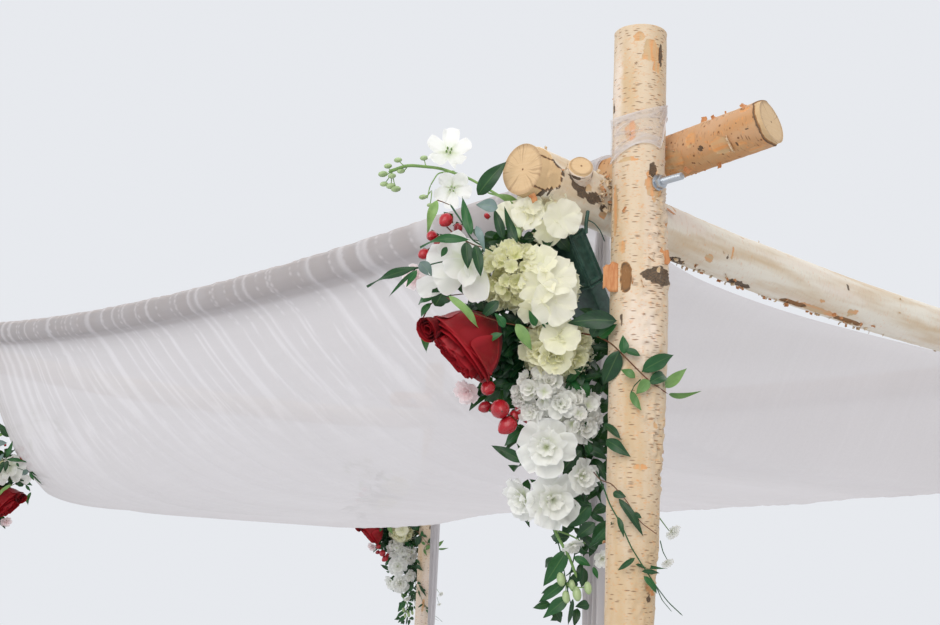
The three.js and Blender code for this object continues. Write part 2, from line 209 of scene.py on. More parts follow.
def weld(piece, distance=1e-6):
    edit(piece, lambda: bpy.ops.mesh.remove_doubles(threshold=distance))


def grid(name, columns, rows, rule):
    """A grid of quads, formed by a rule that gives a place for each share across and share up."""
    deselect()
    bpy.ops.mesh.primitive_grid_add(x_subdivisions=columns, y_subdivisions=rows, size=1)
    piece = bpy.context.object
    piece.name = piece.data.name = name
    flat = points_of(piece)
    places = rule(flat[:, 0] + 0.5, flat[:, 1] + 0.5)
    piece.data.vertices.foreach_set("co", np.ascontiguousarray(places, np.float32).ravel())
    piece.data.update()
    return piece


def points_of(piece):
    flat = np.empty(len(piece.data.vertices) * 3, np.float32)
    piece.data.vertices.foreach_get("co", flat)
    return flat.reshape(-1, 3).astype(float)


def mark(piece, name, values):
    """Stores a number or a vector for each point of a piece."""
    values = np.asarray(values, np.float32)
    kind, field = ("FLOAT", "value") if values.ndim == 1 else ("FLOAT_VECTOR", "vector")
    layer = piece.data.attributes.new(name, kind, "POINT")
    layer.data.foreach_set(field, values.ravel())


def finish_piece(piece, replaced=(), smooth_angle=None):
    """Smooths a piece, lets it ride on the frame and hides the parts that it replaces."""
    choose(piece)
    if smooth_angle is None:
        bpy.ops.object.shade_smooth()
    else:
        bpy.ops.object.shade_smooth_by_angle(angle=math.radians(smooth_angle))
    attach(piece, "root")
    if replaced:
        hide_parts(*replaced)
    return piece


def dress(piece, *paints):
    """Gives a piece its materials, by their keys in the finishes."""
    names = bpy.context.scene["canopy_paints"]
    for key in paints:
        piece.data.materials.append(bpy.data.materials[names[key]])


def modify(piece, kind, **settings):
    """Gives a piece a modifier with its settings, and applies it."""
    choose(piece)
    modifier = piece.modifiers.new(kind.lower(), kind)
    for name, value in settings.items():
        setattr(modifier, name, value)
    bpy.ops.object.modifier_apply(modifier=modifier.name)


# Shader nodes


class Val:
    """A shader value. Arithmetic on it adds Math nodes."""

    def __init__(self, paint, socket):
        self.paint = paint
        self.socket = socket

    def math(self, operation, *others):
        """A Math node on this value and the others."""
        inputs = dict(enumerate((self, *others)))
        return self.paint.node("ShaderNodeMath", {"operation": operation}, inputs)

    def __add__(self, other):
        return self.math("ADD", other)

    def __sub__(self, other):
        return self.math("SUBTRACT", other)

    def __mul__(self, other):
        return self.math("MULTIPLY", other)

    def __rsub__(self, other):
        return self.paint.node("ShaderNodeMath", {"operation": "SUBTRACT"}, {0: other, 1: self})

    def __abs__(self):
        return self.math("ABSOLUTE")

    __radd__ = __add__
    __rmul__ = __mul__


class Paint:
    """Builds one material on a Principled shader."""

    def __init__(self, name, roughness=0.7, **sockets):
        self.material = bpy.data.materials.new(name)
        self.material.use_nodes = True
        self.tree = self.material.node_tree
        self.shader = self.tree.nodes["Principled BSDF"]
        self.set(Roughness=roughness, **sockets)

    def connect(self, target, value):
        if isinstance(value, Val):
            self.tree.links.new(value.socket, target)
        elif hasattr(value, "__len__") and len(value) == 3 and len(target.default_value) == 4:
            target.default_value = (*value, 1.0)
        else:
            target.default_value = value

    def set(self, **sockets):
        """Sets the shader's sockets, with underscores for the spaces in their names."""
        for name, value in sockets.items():
            self.connect(self.shader.inputs[name.replace("_", " ")], value)

    def node(self, kind, settings, inputs, output=0):
        """Adds a node with its settings first and then its sockets, and gives one output."""
        made = self.tree.nodes.new(kind)
        for name, value in settings.items():
            setattr(made, name, value)
        for name, value in inputs.items():
            self.connect(made.inputs[name], value)
        return Val(self, made.outputs[output])

    def vector_math(self, operation, *values, output=0):
        return self.node("ShaderNodeVectorMath", {"operation": operation}, dict(enumerate(values)), output)

    def stored(self, name, output="Fac"):
        return self.node("ShaderNodeAttribute", {"attribute_name": name}, {}, output)

    def coordinates(self, output="Object"):
        return self.node("ShaderNodeTexCoord", {}, {}, output)

    def stretch(self, vector, scale):
        return self.vector_math("MULTIPLY", vector, scale)

    def part(self, vector, direction):
        """The size of a vector along a direction."""
        return self.vector_math("DOT_PRODUCT", vector, direction, output="Value")

    def noise(self, vector, scale, detail=3, roughness=0.5):
        """Noise of a scale, which is one number or one for each axis."""
        if isinstance(scale, tuple):
            vector, scale = self.stretch(vector, scale), 1
        sockets = {"Vector": vector, "Scale": scale, "Detail": detail, "Roughness": roughness}
        return self.node("ShaderNodeTexNoise", {}, sockets)

    def cells(self, vector, output="Distance", scale=1.0):
        return self.node("ShaderNodeTexVoronoi", {}, {"Vector": vector, "Scale": scale}, output)

    def ramp(self, value, low, high):
        """0 below low and 1 above high, or the other way round where low is above high."""
        settings = {"clamp": True, "interpolation_type": "SMOOTHSTEP"}
        return self.node("ShaderNodeMapRange", settings, {"Value": value, "From Min": low, "From Max": high})

    def blend(self, share, first, second):
        """Mixes two colours."""
        settings = {"data_type": "RGBA", "clamp_factor": True}
        return self.node("ShaderNodeMix", settings, {0: share, 6: first, 7: second}, 2)

    def bump(self, height, strength=0.5, distance=1 * MM):
        sockets = {"Height": height, "Strength": strength, "Distance": distance}
        self.set(Normal=self.node("ShaderNodeBump", {}, sockets))

    def mix_in(self, share, other):
        """Mixes another shader into the Principled one, and gives the finished material."""
        own = Val(self, self.shader.outputs[0])
        both = self.node("ShaderNodeMixShader", {}, {0: share, 1: own, 2: other}, "Shader")
        self.tree.links.new(both.socket, self.tree.nodes["Material Output"].inputs["Surface"])
        return self.material

    def glow(self, colour):
        return self.node("ShaderNodeBsdfTranslucent", {}, {"Color": colour}, "BSDF")


def bark_paint(name, colours, ground, dashes, orange, fleck, blush_share=0.8, spots=0.3):
    """Birch bark: long pale zones, short level dashes, torn orange flecks, and the stored marks."""
    paint = Paint(name, 0.72, Specular_IOR_Level=0.25)
    place = paint.stored("straight", "Vector")
    zones = paint.noise(place, (42, 42, 6))
    tone = paint.stored("tone")
    colour = paint.blend(paint.ramp(zones + tone * 0.2, 0.38, 0.82) * 0.75, ground, colours.bark_tan)
    blush = paint.noise(place, (26, 26, 4), 2)
    colour = paint.blend(paint.ramp(blush - tone * 0.3, 0.42, 0.82) * blush_share, colour, colours.bark_pink)
    mottle = paint.noise(place, (130, 130, 210), 4, 0.62)
    colour = paint.blend(paint.ramp(mottle, 0.56, 0.76) * (0.35 + orange), colour, colours.bark_orange)

    dash_place = paint.stretch(place, (80, 80, 400))
    chance = paint.part(paint.cells(dash_place, "Color"), (1, 0, 0))
    dash = paint.ramp(paint.cells(dash_place), 0.40, 0.16)
    dash = dash * paint.ramp(chance + (mottle - 0.5) * 0.8, 0.46, 0.66)
    faint_place = paint.stretch(place, (170, 170, 640))
    faint = paint.ramp(paint.cells(faint_place), 0.36, 0.18) * paint.ramp(mottle, 0.42, 0.55)
    speck_chance = paint.part(paint.cells(place, "Color", 125), (0, 1, 0))
    speck = paint.ramp(paint.cells(place, "Distance", 125), 0.26, 0.14)
    speck = speck * paint.ramp(speck_chance, fleck, fleck + 0.03)
    colour = paint.blend(faint * 0.5 * dashes, colour, colours.bark_orange)
    colour = paint.blend(dash * 0.72 * dashes, colour, colours.bark_brown)
    colour = paint.blend(speck * spots, colour, colours.bark_orange if spots < 0.5 else colours.bark_brown)

    ragged = paint.noise(place, (240, 240, 240)) - 0.5
    bare = paint.ramp(paint.stored("bare") + ragged * 0.35, 0.44, 0.56)
    torn = paint.ramp(paint.stored("torn") + ragged * 0.9, 0.40, 0.72) * 0.85
    # The stored dark marks are knots, scars and hollows in their own colours, and painted shadow along
    # lifted bark edges and round bare patches
    dark = paint.ramp(paint.stored("dark") + ragged * 0.5, 0.34, 0.68) * 0.94
    streaks = paint.noise(place, (150, 150, 22))
    under = paint.blend(streaks, colours.bark_tan, colours.wood)
    fresh = paint.blend(paint.ramp(streaks, 0.35, 0.65), colours.bark_orange, colours.bark_tan)
    colour = paint.blend(bare, colour, under)
    colour = paint.blend(torn, colour, fresh)
    fibres = paint.noise(place, (420, 420, 900), 4, 0.65)
    dark_mark_and_gap_shadow = paint.blend(paint.ramp(fibres, 0.38, 0.66), colours.bark_dark, (0.14, 0.085, 0.048))
    deep = paint.ramp(paint.stored("dark"), 0.66, 0.9)
    hollow_and_gap_shadow = paint.blend(deep, (0.25, 0.115, 0.042), colours.bark_dark)
    colour = paint.blend(dark, colour, paint.blend(bare, dark_mark_and_gap_shadow, hollow_and_gap_shadow))
    paint.set(Base_Color=colour, Roughness=0.62 + mottle * 0.25 + dark * 0.1)
    curled = paint.noise(place, (90, 90, 420), 4, 0.6)
    height = dash * 0.5 * dashes + faint * 0.25 + curled * 0.9 + mottle * 0.5 - torn * 0.6
    paint.bump(height, 0.55, 0.9 * MM)
    return paint.material


def wood_paint(colours):
    """A sawn end: growth rings, fine cracks out of the pith and a brown line under the bark."""
    paint = Paint("sawn_wood", 0.7, Specular_IOR_Level=0.3)
    ring_spacing = 2.1 * MM
    place = paint.stored("straight", "Vector")
    wander = paint.noise(place, 45, 2) - 0.5
    radius = paint.vector_math("LENGTH", paint.stretch(place, (1, 1, 0)), output="Value") + wander * 4 * MM
    rings = (radius * (TURN / ring_spacing)).math("SINE")
    angle = paint.part(place, (0, 1, 0)).math("ARCTAN2", paint.part(place, (1, 0, 0))) + wander * 0.3
    log_end = paint.part(place, (0, 0, 3))  # differs from one log end to the next
    crack = paint.noise(paint.node("ShaderNodeCombineXYZ", {}, {"X": angle * 2.2, "Y": log_end}), 1, 1)
    thin = paint.ramp(abs(crack - 0.5), 0.012, 0.002) * paint.ramp(radius, 4 * MM, 20 * MM)
    saw = paint.noise(place, (40, 300, 40), 4, 0.6)
    colour = paint.blend(paint.ramp(rings, -1, 1) * 0.28, colours.wood, colours.bark_tan)
    colour = paint.blend(paint.ramp(saw, 0.35, 0.75) * 0.35, colour, (0.70, 0.53, 0.33))
    colour = paint.blend(thin * 0.34, colour, colours.bark_brown)
    colour = paint.blend(paint.ramp(radius, 2.2 * MM, 0.8 * MM), colour, colours.bark_brown)
    colour = paint.blend(paint.stored("dark"), colour, colours.bark_brown)
    paint.set(Base_Color=colour)
    paint.bump(saw * 0.8 + rings * 0.1 - thin, 0.5, 0.5 * MM)
    return paint.material


def patchy_paint(name, colours, level, roughness, scale, detail, grain, stops, bump, added=0.0):
    """Two colours in patches: level is the specular one, and the patches add to roughness and bump."""
    paint = Paint(name, roughness, Specular_IOR_Level=level)
    patch = paint.noise(paint.coordinates(), scale, detail, grain)
    paint.set(Base_Color=paint.blend(paint.ramp(patch, *stops), *colours))
    if added:
        paint.set(Roughness=roughness + patch * added)
    strength, depth = bump
    paint.bump(patch, strength, depth * MM)
    return paint.material


def scrap_paint(colours):
    """The outer face of curled bark."""
    paint = Paint("scrap_bark", 0.7, Specular_IOR_Level=0.25)
    place = paint.coordinates()
    spots = paint.noise(place, 260, 4, 0.6)
    colour = paint.blend(paint.ramp(spots, 0.4, 0.62), colours.bark_cream, colours.bark_tan)
    colour = paint.blend(paint.ramp(spots, 0.6, 0.7), colour, colours.bark_brown)
    paint.set(Base_Color=colour)
    paint.bump(spots, 0.4, 0.5 * MM)
    return paint.material


def cloth_paint(colours):
    """Sheer white cloth: whiter on its fold ridges, partly as denser cloth and partly as painted highlight,
    part of the light through it, and a little see-through.
    """
    paint = Paint("sheer_cloth", 0.85, Specular_IOR_Level=0.1, Sheen_Weight=0.2, Sheen_Roughness=0.5)
    threads = paint.coordinates("UV")
    weave = paint.noise(threads, (900, 700, 1), 2)
    slub = paint.noise(threads, (14, 260, 1))
    # The stored fold share lightens the ridges as painted highlight, and leaves painted shade in the valleys
    white = paint.stored("fold") + (slub - 0.5) * 0.2
    cover = paint.stored("cover")
    colour = paint.blend(white, colours.cloth, (0.85, 0.83, 0.84))
    paint.set(Base_Color=colour, Alpha=cover + (weave - 0.5) * 0.12)
    paint.bump(weave * 0.5 + slub, 0.25, 0.6 * MM)
    clear = paint.node("ShaderNodeBsdfTransparent", {}, {}, "BSDF")
    inputs = {0: 1 - cover, 1: paint.glow((0.62, 0.588, 0.582, 1)), 2: clear}
    return paint.mix_in(0.45, paint.node("ShaderNodeMixShader", {}, inputs, "Shader"))


def zinc_paint(colours):
    paint = Paint("zinc_plate", 0.32, Metallic=1.0)
    place = paint.coordinates()
    scuffs = paint.noise(place, 420, 3)
    dull = paint.noise(place, 90, 3)
    colour = paint.blend(paint.ramp(dull, 0.35, 0.7), colours.zinc, (0.46, 0.48, 0.50))
    paint.set(Base_Color=colour, Roughness=0.24 + scuffs * 0.28)
    paint.bump(scuffs, 0.15, 0.2 * MM)
    return paint.material


def floor_paint(colours):
    paint = Paint("pale_floor", 0.85, Specular_IOR_Level=0.1)
    paint.set(Base_Color=colours.floor)
    return paint.material


# Logs


class Log:
    """A log's centre line, the directions round it, and what is marked on its bark."""

    def __init__(self, name, start, run, across, length, radius, lift=None, zero=0.0, sense=1, seed=0):
        self.name = name
        self.start = np.array(start)
        self.run = np.array(run, float)
        self.across = np.array(across, float)
        self.over = np.cross(self.run, self.across)
        self.length = length
        self.radius = radius
        self.lift = lift or (lambda along: 0 * along)
        self.zero = zero
        self.sense = sense
        self.seed = seed
        self.cuts = []

    def along(self, offset):
        """The distance from the log's start for a distance from the front right post's axis."""
        return self.zero + self.sense * offset

    def cut(self, angle, along, share):
        """Moves the places near a sawn end, so that its face is off square."""
        for at_start, shift, slant, degrees in self.cuts:
            reach = along if at_start else self.length - along
            push = shift + slant * share * np.cos(angle - math.radians(degrees))
            along = along + push * (1 if at_start else -1) * smooth(60 * MM - reach, 0, 60 * MM)
        return along

    def side(self, angle):
        return np.multiply.outer(np.cos(angle), self.across) + np.multiply.outer(np.sin(angle), self.over)

    def spot(self, angle, along, out):
        """The place at an angle round the log, a distance along it and a distance from its middle."""
        place = self.start + np.multiply.outer(along, self.run)
        place = place + np.asarray(out)[..., None] * self.side(angle)
        place[..., 2] += self.lift(along)
        return place


def post_log(corner, seed):
    low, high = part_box("post_" + corner)
    middle = (low + high) / 2
    length = high.z - low.z

    def radius(along):
        return mix(POST_RADIUS_FOOT, POST_RADIUS_HEAD, (along / length) ** 3)

    foot = (middle.x, middle.y, low.z)
    return Log("post_" + corner, foot, (0, 0, 1), (1, 0, 0), length, radius, seed=seed)


def short_log(side, seed):
    """A short rail, which is bowed and lowest at its middle."""
    low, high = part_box("rail_short_" + side)
    x = low.x + SHORT_RADIUS if side == "right" else high.x - SHORT_RADIUS
    half = (high.y - low.y) / 2
    rise = high.z - low.z - 2 * SHORT_RADIUS

    def lift(along):
        return rise * ((along - half) / half) ** 2

    start = (x, high.y, low.z + SHORT_RADIUS)
    zero = high.y - post_middle("front_right").y
    return Log("rail_short_" + side, start, (0, -1, 0), (1, 0, 0), 2 * half, lambda a: SHORT_RADIUS + 0 * a,
               lift, zero, -1, seed)


def long_log(side, seed):
    """A long rail: it sags between its crossings, and its left end is bolted higher."""
    low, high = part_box("rail_long_" + side)
    half = (high.x - low.x) / 2
    right_low, right_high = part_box("rail_short_right")
    left_low, left_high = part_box("rail_short_left")
    crossing = (right_low.x + right_high.x - left_low.x - left_high.x) / 4
    rise = right_low.z - left_low.z
    top_share = half / crossing

    def lift(along):
        share = (half - along) / crossing
        return LONG_BOW * (share**2 - top_share**2) + rise * (share + top_share) / 2

    start = (high.x, (low.y + high.y) / 2, high.z - LONG_RADIUS)
    zero = high.x - post_middle("front_right").x
    return Log("rail_long_" + side, start, (-1, 0, 0), (0, -1, 0), 2 * half, lambda a: LONG_RADIUS + 0 * a,
               lift, zero, -1, seed)


def post_middle(corner):
    low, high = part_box("post_" + corner)
    return (low + high) / 2


# How ragged and how square a mark is, where its kind isn't like the rest
RAGGED, PLAIN_RAGGED = {"knot": 0.08, "bare": 0.07, "hollow": 0.07}, 0.24
SQUARE, PLAIN_SQUARE = {"knot": 1.45, "hollow": 3.4}, 2.0


def blot(log, angle, along, kind, spot):
    """Distance from the middle of a ragged oval mark, 1 at its edge: spot is its degrees round the
    log, its place in mm and its half sizes in mm."""
    degrees, place, wide, high = spot[:4]
    centre = log.along(place * MM)
    arc = (np.mod(angle - math.radians(degrees) + math.pi, TURN) - math.pi) * log.radius(centre)
    rough = RAGGED.get(kind, PLAIN_RAGGED) * fractal(arc * 160, along * 160, log.seed, 5, 2)
    power = SQUARE.get(kind, PLAIN_SQUARE)
    share = abs(arc / (wide * MM)) ** power + abs((along - centre) / (high * MM)) ** power
    return share ** (1 / power) + rough


CAP_ROWS = 7  # rings of a sawn end


def log_surface(log, stops, columns, marks, end_bare, patchy):
    """One log: a closed grid with its two sawn ends, its relief and its stored marks."""
    sizes = bpy.context.scene.canopy_sizes
    along_rows = spread(stops)
    cap_share = np.linspace(0, 0.975, CAP_ROWS)
    rows_along = np.concatenate([np.full(CAP_ROWS, 0.0), along_rows, np.full(CAP_ROWS, log.length)])
    rows_share = np.concatenate([cap_share, np.ones(len(along_rows)), cap_share[::-1]])
    total = len(rows_along) - 1
    made = {}

    def rule(u, v):
        row = np.rint(v * total).astype(int)
        angle = u * TURN
        along = rows_along[row]
        share = rows_share[row]
        radius = log.radius(along)
        x, y = radius * np.cos(angle), radius * np.sin(angle)
        z = along + log.seed * 3.7
        skin = share >= 1

        swell = sizes.swell * fractal(x * 16, y * 16, z * 5, log.seed, 3)
        wrinkle = 0.35 * MM * noise(x * 55, y * 55, z * 130, log.seed + 9)
        nearest_end = np.minimum(along, log.length - along)
        ragged = fractal(x * 45, y * 45, z * 20, log.seed + 3, 3)
        reach = end_bare * (1 + 0.8 * ragged)
        bare = smooth(reach - nearest_end, -2 * MM, 2 * MM) * skin
        edge = np.exp(-(((nearest_end - reach) / (2.2 * MM)) ** 2)) * skin
        field = fractal(x * 38, y * 38, z * 26, log.seed + 5, 4)
        torn = smooth(field, 0.95 - patchy, 1.12 - patchy) * skin * (1 - bare)
        # Painted shadow: where the noise lifts the ragged bark edge, a dark line along that edge stands for
        # the gap beneath it
        gap_shadow = smooth(fractal(x * 30, y * 30, z * 10, log.seed + 11, 2), -0.15, 0.3)
        dark = 0.75 * edge * gap_shadow
        tone = 0.8 * noise(x * 10, y * 10, z * 1.5, log.seed + 7)
        out = swell + wrinkle - sizes.bark * bare - 0.5 * MM * torn + 0.8 * MM * edge * (1 - bare)

        for kind, spot in marks:
            distance = blot(log, angle, along, kind, spot)
            mask = smooth(1 - distance, -0.12, 0.12) * skin
            dome = np.sqrt(np.clip(1 - distance**2, 0, 1)) * skin
            rim = np.exp(-(((distance - 1) / 0.16) ** 2)) * skin
            if kind == "knot":
                dark = np.maximum(dark, mask * (1 - 0.35 * dome**3))
                out = out + 1.2 * MM * rim - 0.8 * MM * dome
            elif kind == "hollow":
                dark = np.maximum(dark, (0.70 + 0.3 * rim) * mask)
                bare = np.maximum(bare, mask)
                out = out - 2.6 * MM * dome
            elif kind == "chip":
                dark = dark * (1 - mask)
                bare = np.maximum(bare, mask)
            elif kind == "torn":
                torn = np.maximum(torn, mask)
                out = out - 0.7 * MM * mask + 0.4 * MM * rim
            elif kind == "bare":
                bare = np.maximum(bare, mask)
                # The dark rim round a bare patch is painted shadow of the gap under the bark's lifted edge
                dark = np.maximum(dark * (1 - mask), rim**3 * (distance > 0.97))
                out = out - 1.2 * MM * mask + 0.8 * MM * rim * (distance > 1)
            elif kind == "bulge":
                out = out + spot[4] * MM * dome**1.5
            elif kind == "scar":
                dark = np.maximum(dark, mask * 0.9)
                out = out + 0.6 * MM * rim - 0.5 * MM * mask
            elif kind in ("pink", "yellow"):
                tone = tone + (1 if kind == "yellow" else -1) * smooth(1 - distance, -0.5, 0.9)
        end_push = 0.8 * MM * noise(x * share * 60, y * share * 60, log.seed) * (1 - skin)
        inward = np.where(log.length / 2 > along, 1, -1)
        along = log.cut(angle, along + inward * abs(end_push), share)
        rim_dark = smooth(share, 0.955, 0.975) * (1 - skin) * 0.4
        made.update(
            straight=np.stack([x * share, y * share, z], 1), bare=bare, torn=torn,
            dark=np.clip(dark * skin + rim_dark, 0, 1), tone=tone,
        )
        return log.spot(angle, along, (radius + out - (sizes.bark * (end_bare > 0)) * (1 - skin)) * share)

    piece = grid("birch_" + log.name, columns, total, rule)
    for name, values in made.items():
        mark(piece, name, values)
    row = np.arange(len(piece.data.polygons)) // columns
    sawn = (row < CAP_ROWS) | (row >= total - CAP_ROWS)
    piece.data.polygons.foreach_set("material_index", sawn.astype(np.int32))
    weld(piece)
    return piece


def spread(stops):
    """Places along a log in metres: each stop is a place and the number of steps to the next."""
    runs = [np.linspace(a, b, steps, endpoint=False) for (a, steps), (b, _) in zip(stops, stops[1:])]
    return np.append(np.concatenate(runs), stops[-1][0])


# Marks on the bark: kind, then degrees round the log, mm from the front right post's axis (or
# the floor), half width and half height in mm, and for a bulge its height in mm
POST_MARKS = [
    ("knot", (4, 2080, 26, 13)),
    ("chip", (-2, 2088, 2.4, 3.2)),
    ("bulge", (-4, 2081, 34, 22, 1.8)),
    ("bulge", (36, 2010, 42, 185, 7.5)),
    ("bulge", (36, 1600, 50, 150, -5)),
    ("hollow", (-70, 2077, 8.4, 20)),
    ("yellow", (-12, 1600, 70, 300)),
    ("torn", (-20, 2392, 14, 16)),
    ("torn", (-8, 2370, 7, 9)),
    ("torn", (-48, 2412, 9, 7)),
    ("scar", (4, 2388, 4, 17)),
    ("pink", (-104, 2340, 12, 80)),
    ("yellow", (-72, 2330, 9, 50)),
    ("scar", (-118, 2316, 4, 8)),
    ("torn", (-62, 2277, 9, 14)),
    ("torn", (-72, 2238, 14, 3)),
    ("scar", (-12, 2224, 6, 11)),
    ("torn", (-10, 2206, 12, 22)),
    ("torn", (-80, 2119, 6, 9)),
    ("torn", (-104, 2170, 6, 34)),
    ("scar", (-78, 2022, 1.4, 13)),
    ("yellow", (-60, 1890, 16, 90)),
    ("pink", (-40, 2000, 20, 60)),
    ("torn", (0, 1684, 8, 10)),
    ("scar", (-2, 1668, 4, 5)),
    ("torn", (-30, 1830, 9, 4)),
    ("bulge", (-118, 1985, 18, 30, 1.5)),
    ("bulge", (-10, 1688, 16, 18, 2.0)),
]
SHORT_MARKS = [
    ("yellow", (-10, -80, 40, 60)),
    ("bulge", (20, -46, 32, 28, 3.5)),
    ("bare", (-13, -146, 24, 40)),
    # The next two scars are painted shadow: the dark crescent under the lifted bark below the bare patch
    ("scar", (-62, -131, 8, 4)),
    ("scar", (-46, -121, 7, 3)),
    ("scar", (24, -83, 5, 9)),
    ("scar", (8, -87, 8, 7)),
    ("scar", (-7, -78, 9, 8)),
    ("scar", (-17, -68, 8, 8)),
    ("knot", (-23, -46, 8.5, 15)),
    ("knot", (-24, -67, 6, 9)),
    ("torn", (-6, -60, 5, 8)),
    ("scar", (-33, -23, 5, 6)),
    ("torn", (-44, -17, 6, 7)),
    ("torn", (4, -34, 5, 4)),
    ("scar", (-4, -28, 3, 2)),
    ("torn", (28, 90, 16, 6)),
    ("torn", (-8, 66, 18, 5)),
    ("torn", (42, 118, 8, 3)),
    ("scar", (-20, 232, 9, 2.5)),
    ("torn", (-16, 238, 10, 4)),
    ("scar", (-92, 150, 10, 22)),
    ("scar", (-88, 290, 9, 26)),
    ("hollow", (-86, 420, 8, 30)),
    ("hollow", (-84, 560, 8, 36)),
    ("torn", (-80, 470, 9, 60)),
    ("scar", (5, 520, 34, 2.2)),
    ("pink", (20, 130, 20, 60)),
]
LONG_MARKS = [
    ("torn", (-38, 107, 13, 14)),
    ("torn", (34, 150, 5, 9)),
    ("knot", (-28, 75, 4.4, 5.4)),
    ("torn", (-49, 136, 3.5, 5.5)),
    ("scar", (-49, 130, 3.5, 1.2)),
    ("pink", (38, 97, 16, 16)),
    ("torn", (-30, 20, 14, 26)),
    ("torn", (4, 60, 12, 9)),
    ("scar", (0, 137, 1.9, 1.4)),
    ("scar", (-22, 152, 1.5, 2.0)),
    ("yellow", (-70, 80, 16, 70)),
    ("torn", (10, -30, 12, 16)),
]
FAR_MARKS = [  # of the other three posts, turned and raised from one to the next
    ("knot", (-150, 1500, 10, 9)),
    ("knot", (70, 900, 12, 10)),
    ("bulge", (70, 900, 28, 26, 2.4)),
    ("torn", (-60, 1980, 12, 20)),
    ("torn", (-30, 1320, 10, 16)),
    ("scar", (160, 1810, 3, 12)),
    ("yellow", (10, 1200, 20, 200)),
    ("pink", (-90, 700, 18, 180)),
    ("torn", (120, 420, 12, 16)),
    ("knot", (200, 2040, 9, 8)),
]


def scrap(log, degrees, place, width, length, turn=0.0, lift=25.0, curl=90.0, seed=0):
    """A strip of loose bark, hinged on a log: its turn is from round the log to along it."""
    centre = math.radians(degrees)
    along = log.along(place * MM)
    root = log.spot(np.array(centre), np.array(along), np.array(log.radius(along) - 0.3 * MM))
    out = log.side(np.array(centre))
    round_log = -log.across * math.sin(centre) + log.over * math.cos(centre)
    turned = math.radians(turn)
    ahead = round_log * math.cos(turned) + log.run * math.sin(turned)
    hinge = -round_log * math.sin(turned) + log.run * math.cos(turned)

    def rule(u, v):
        bend = math.radians(curl)
        first = math.radians(lift)
        spin = first + bend * v
        radius = length * MM / max(abs(bend), 1e-3) * (1 if bend >= 0 else -1)
        forward = radius * (np.sin(spin) - math.sin(first))
        upward = radius * (math.cos(first) - np.cos(spin))
        ragged = 1 - 0.25 * v + 0.22 * noise(v * 5 + seed, u.round(), seed, 31)
        wide = (u - 0.5) * width * MM * ragged
        tip = 0.12 * length * MM * noise(u * 3.5 + seed, 0.0, seed, 37) * v
        place_on = np.multiply.outer(forward + tip, ahead) + np.multiply.outer(wide, hinge)
        return root + place_on + np.multiply.outer(upward, out)

    return rule


class Gather:
    """Collects formed strips, copies of models and tubes, and joins them into one piece."""

    def __init__(self):
        self.points = []
        self.faces = []
        self.uvs = []
        self.shades = []
        self.count = 0

    def add(self, points, faces, uvs, shade):
        self.points.append(points)
        self.faces.append(faces + self.count)
        self.uvs.append(uvs)
        self.shades.append(np.broadcast_to(shade, len(points)))
        self.count += len(points)

    def strip(self, columns, rows, rule, shade=0.0):
        """Adds a grid that is formed by a rule."""
        u, v = np.meshgrid(np.linspace(0, 1, columns + 1), np.linspace(0, 1, rows + 1))
        u, v = u.ravel(), v.ravel()
        self.add(rule(u, v), grid_faces(columns, rows), np.stack([u, v], 1), shade)

    def joined(self):
        """The points, faces and UVs of all that was added."""
        return np.concatenate(self.points), np.concatenate(self.faces), np.concatenate(self.uvs)

    def copy(self, model, turn, place, size, shade=0.0, stretch=(1, 1, 1)):
        """Adds a copy of a model, stretched, sized, turned and put in its place."""
        points, faces, uvs = model.joined()
        self.add((points * stretch * size) @ turn.T + place, faces, uvs, shade)

    def hung(self, corner):
        """The same at a corner, moved there from the front right post's axis."""
        points, faces, uvs = self.joined()
        mirrored = HANG[corner][0] < 0
        made = Gather()
        made.add(hang_points(points, corner), faces[:, ::-1] if mirrored else faces, uvs,
                 np.concatenate(self.shades))
        return made

    def piece(self, name, *paints):
        points, faces, uvs = self.joined()
        mesh = bpy.data.meshes.new(name)
        mesh.from_pydata(points.tolist(), [], faces.tolist())
        corners = np.empty(len(mesh.loops), np.int32)
        mesh.loops.foreach_get("vertex_index", corners)
        mesh.uv_layers.new(name="UVMap").data.foreach_set("uv", uvs[corners].astype(np.float32).ravel())
        piece = bpy.data.objects.new(name, mesh)
        bpy.context.scene.collection.objects.link(piece)
        mark(piece, "shade", np.concatenate(self.shades))
        dress(piece, *paints)
        return piece


def grid_faces(columns, rows):
    """The quads of a grid of points that is given row by row."""
    first = (np.arange(rows)[:, None] * (columns + 1) + np.arange(columns)).ravel()
    return np.stack([first, first + 1, first + columns + 2, first + columns + 1], 1)


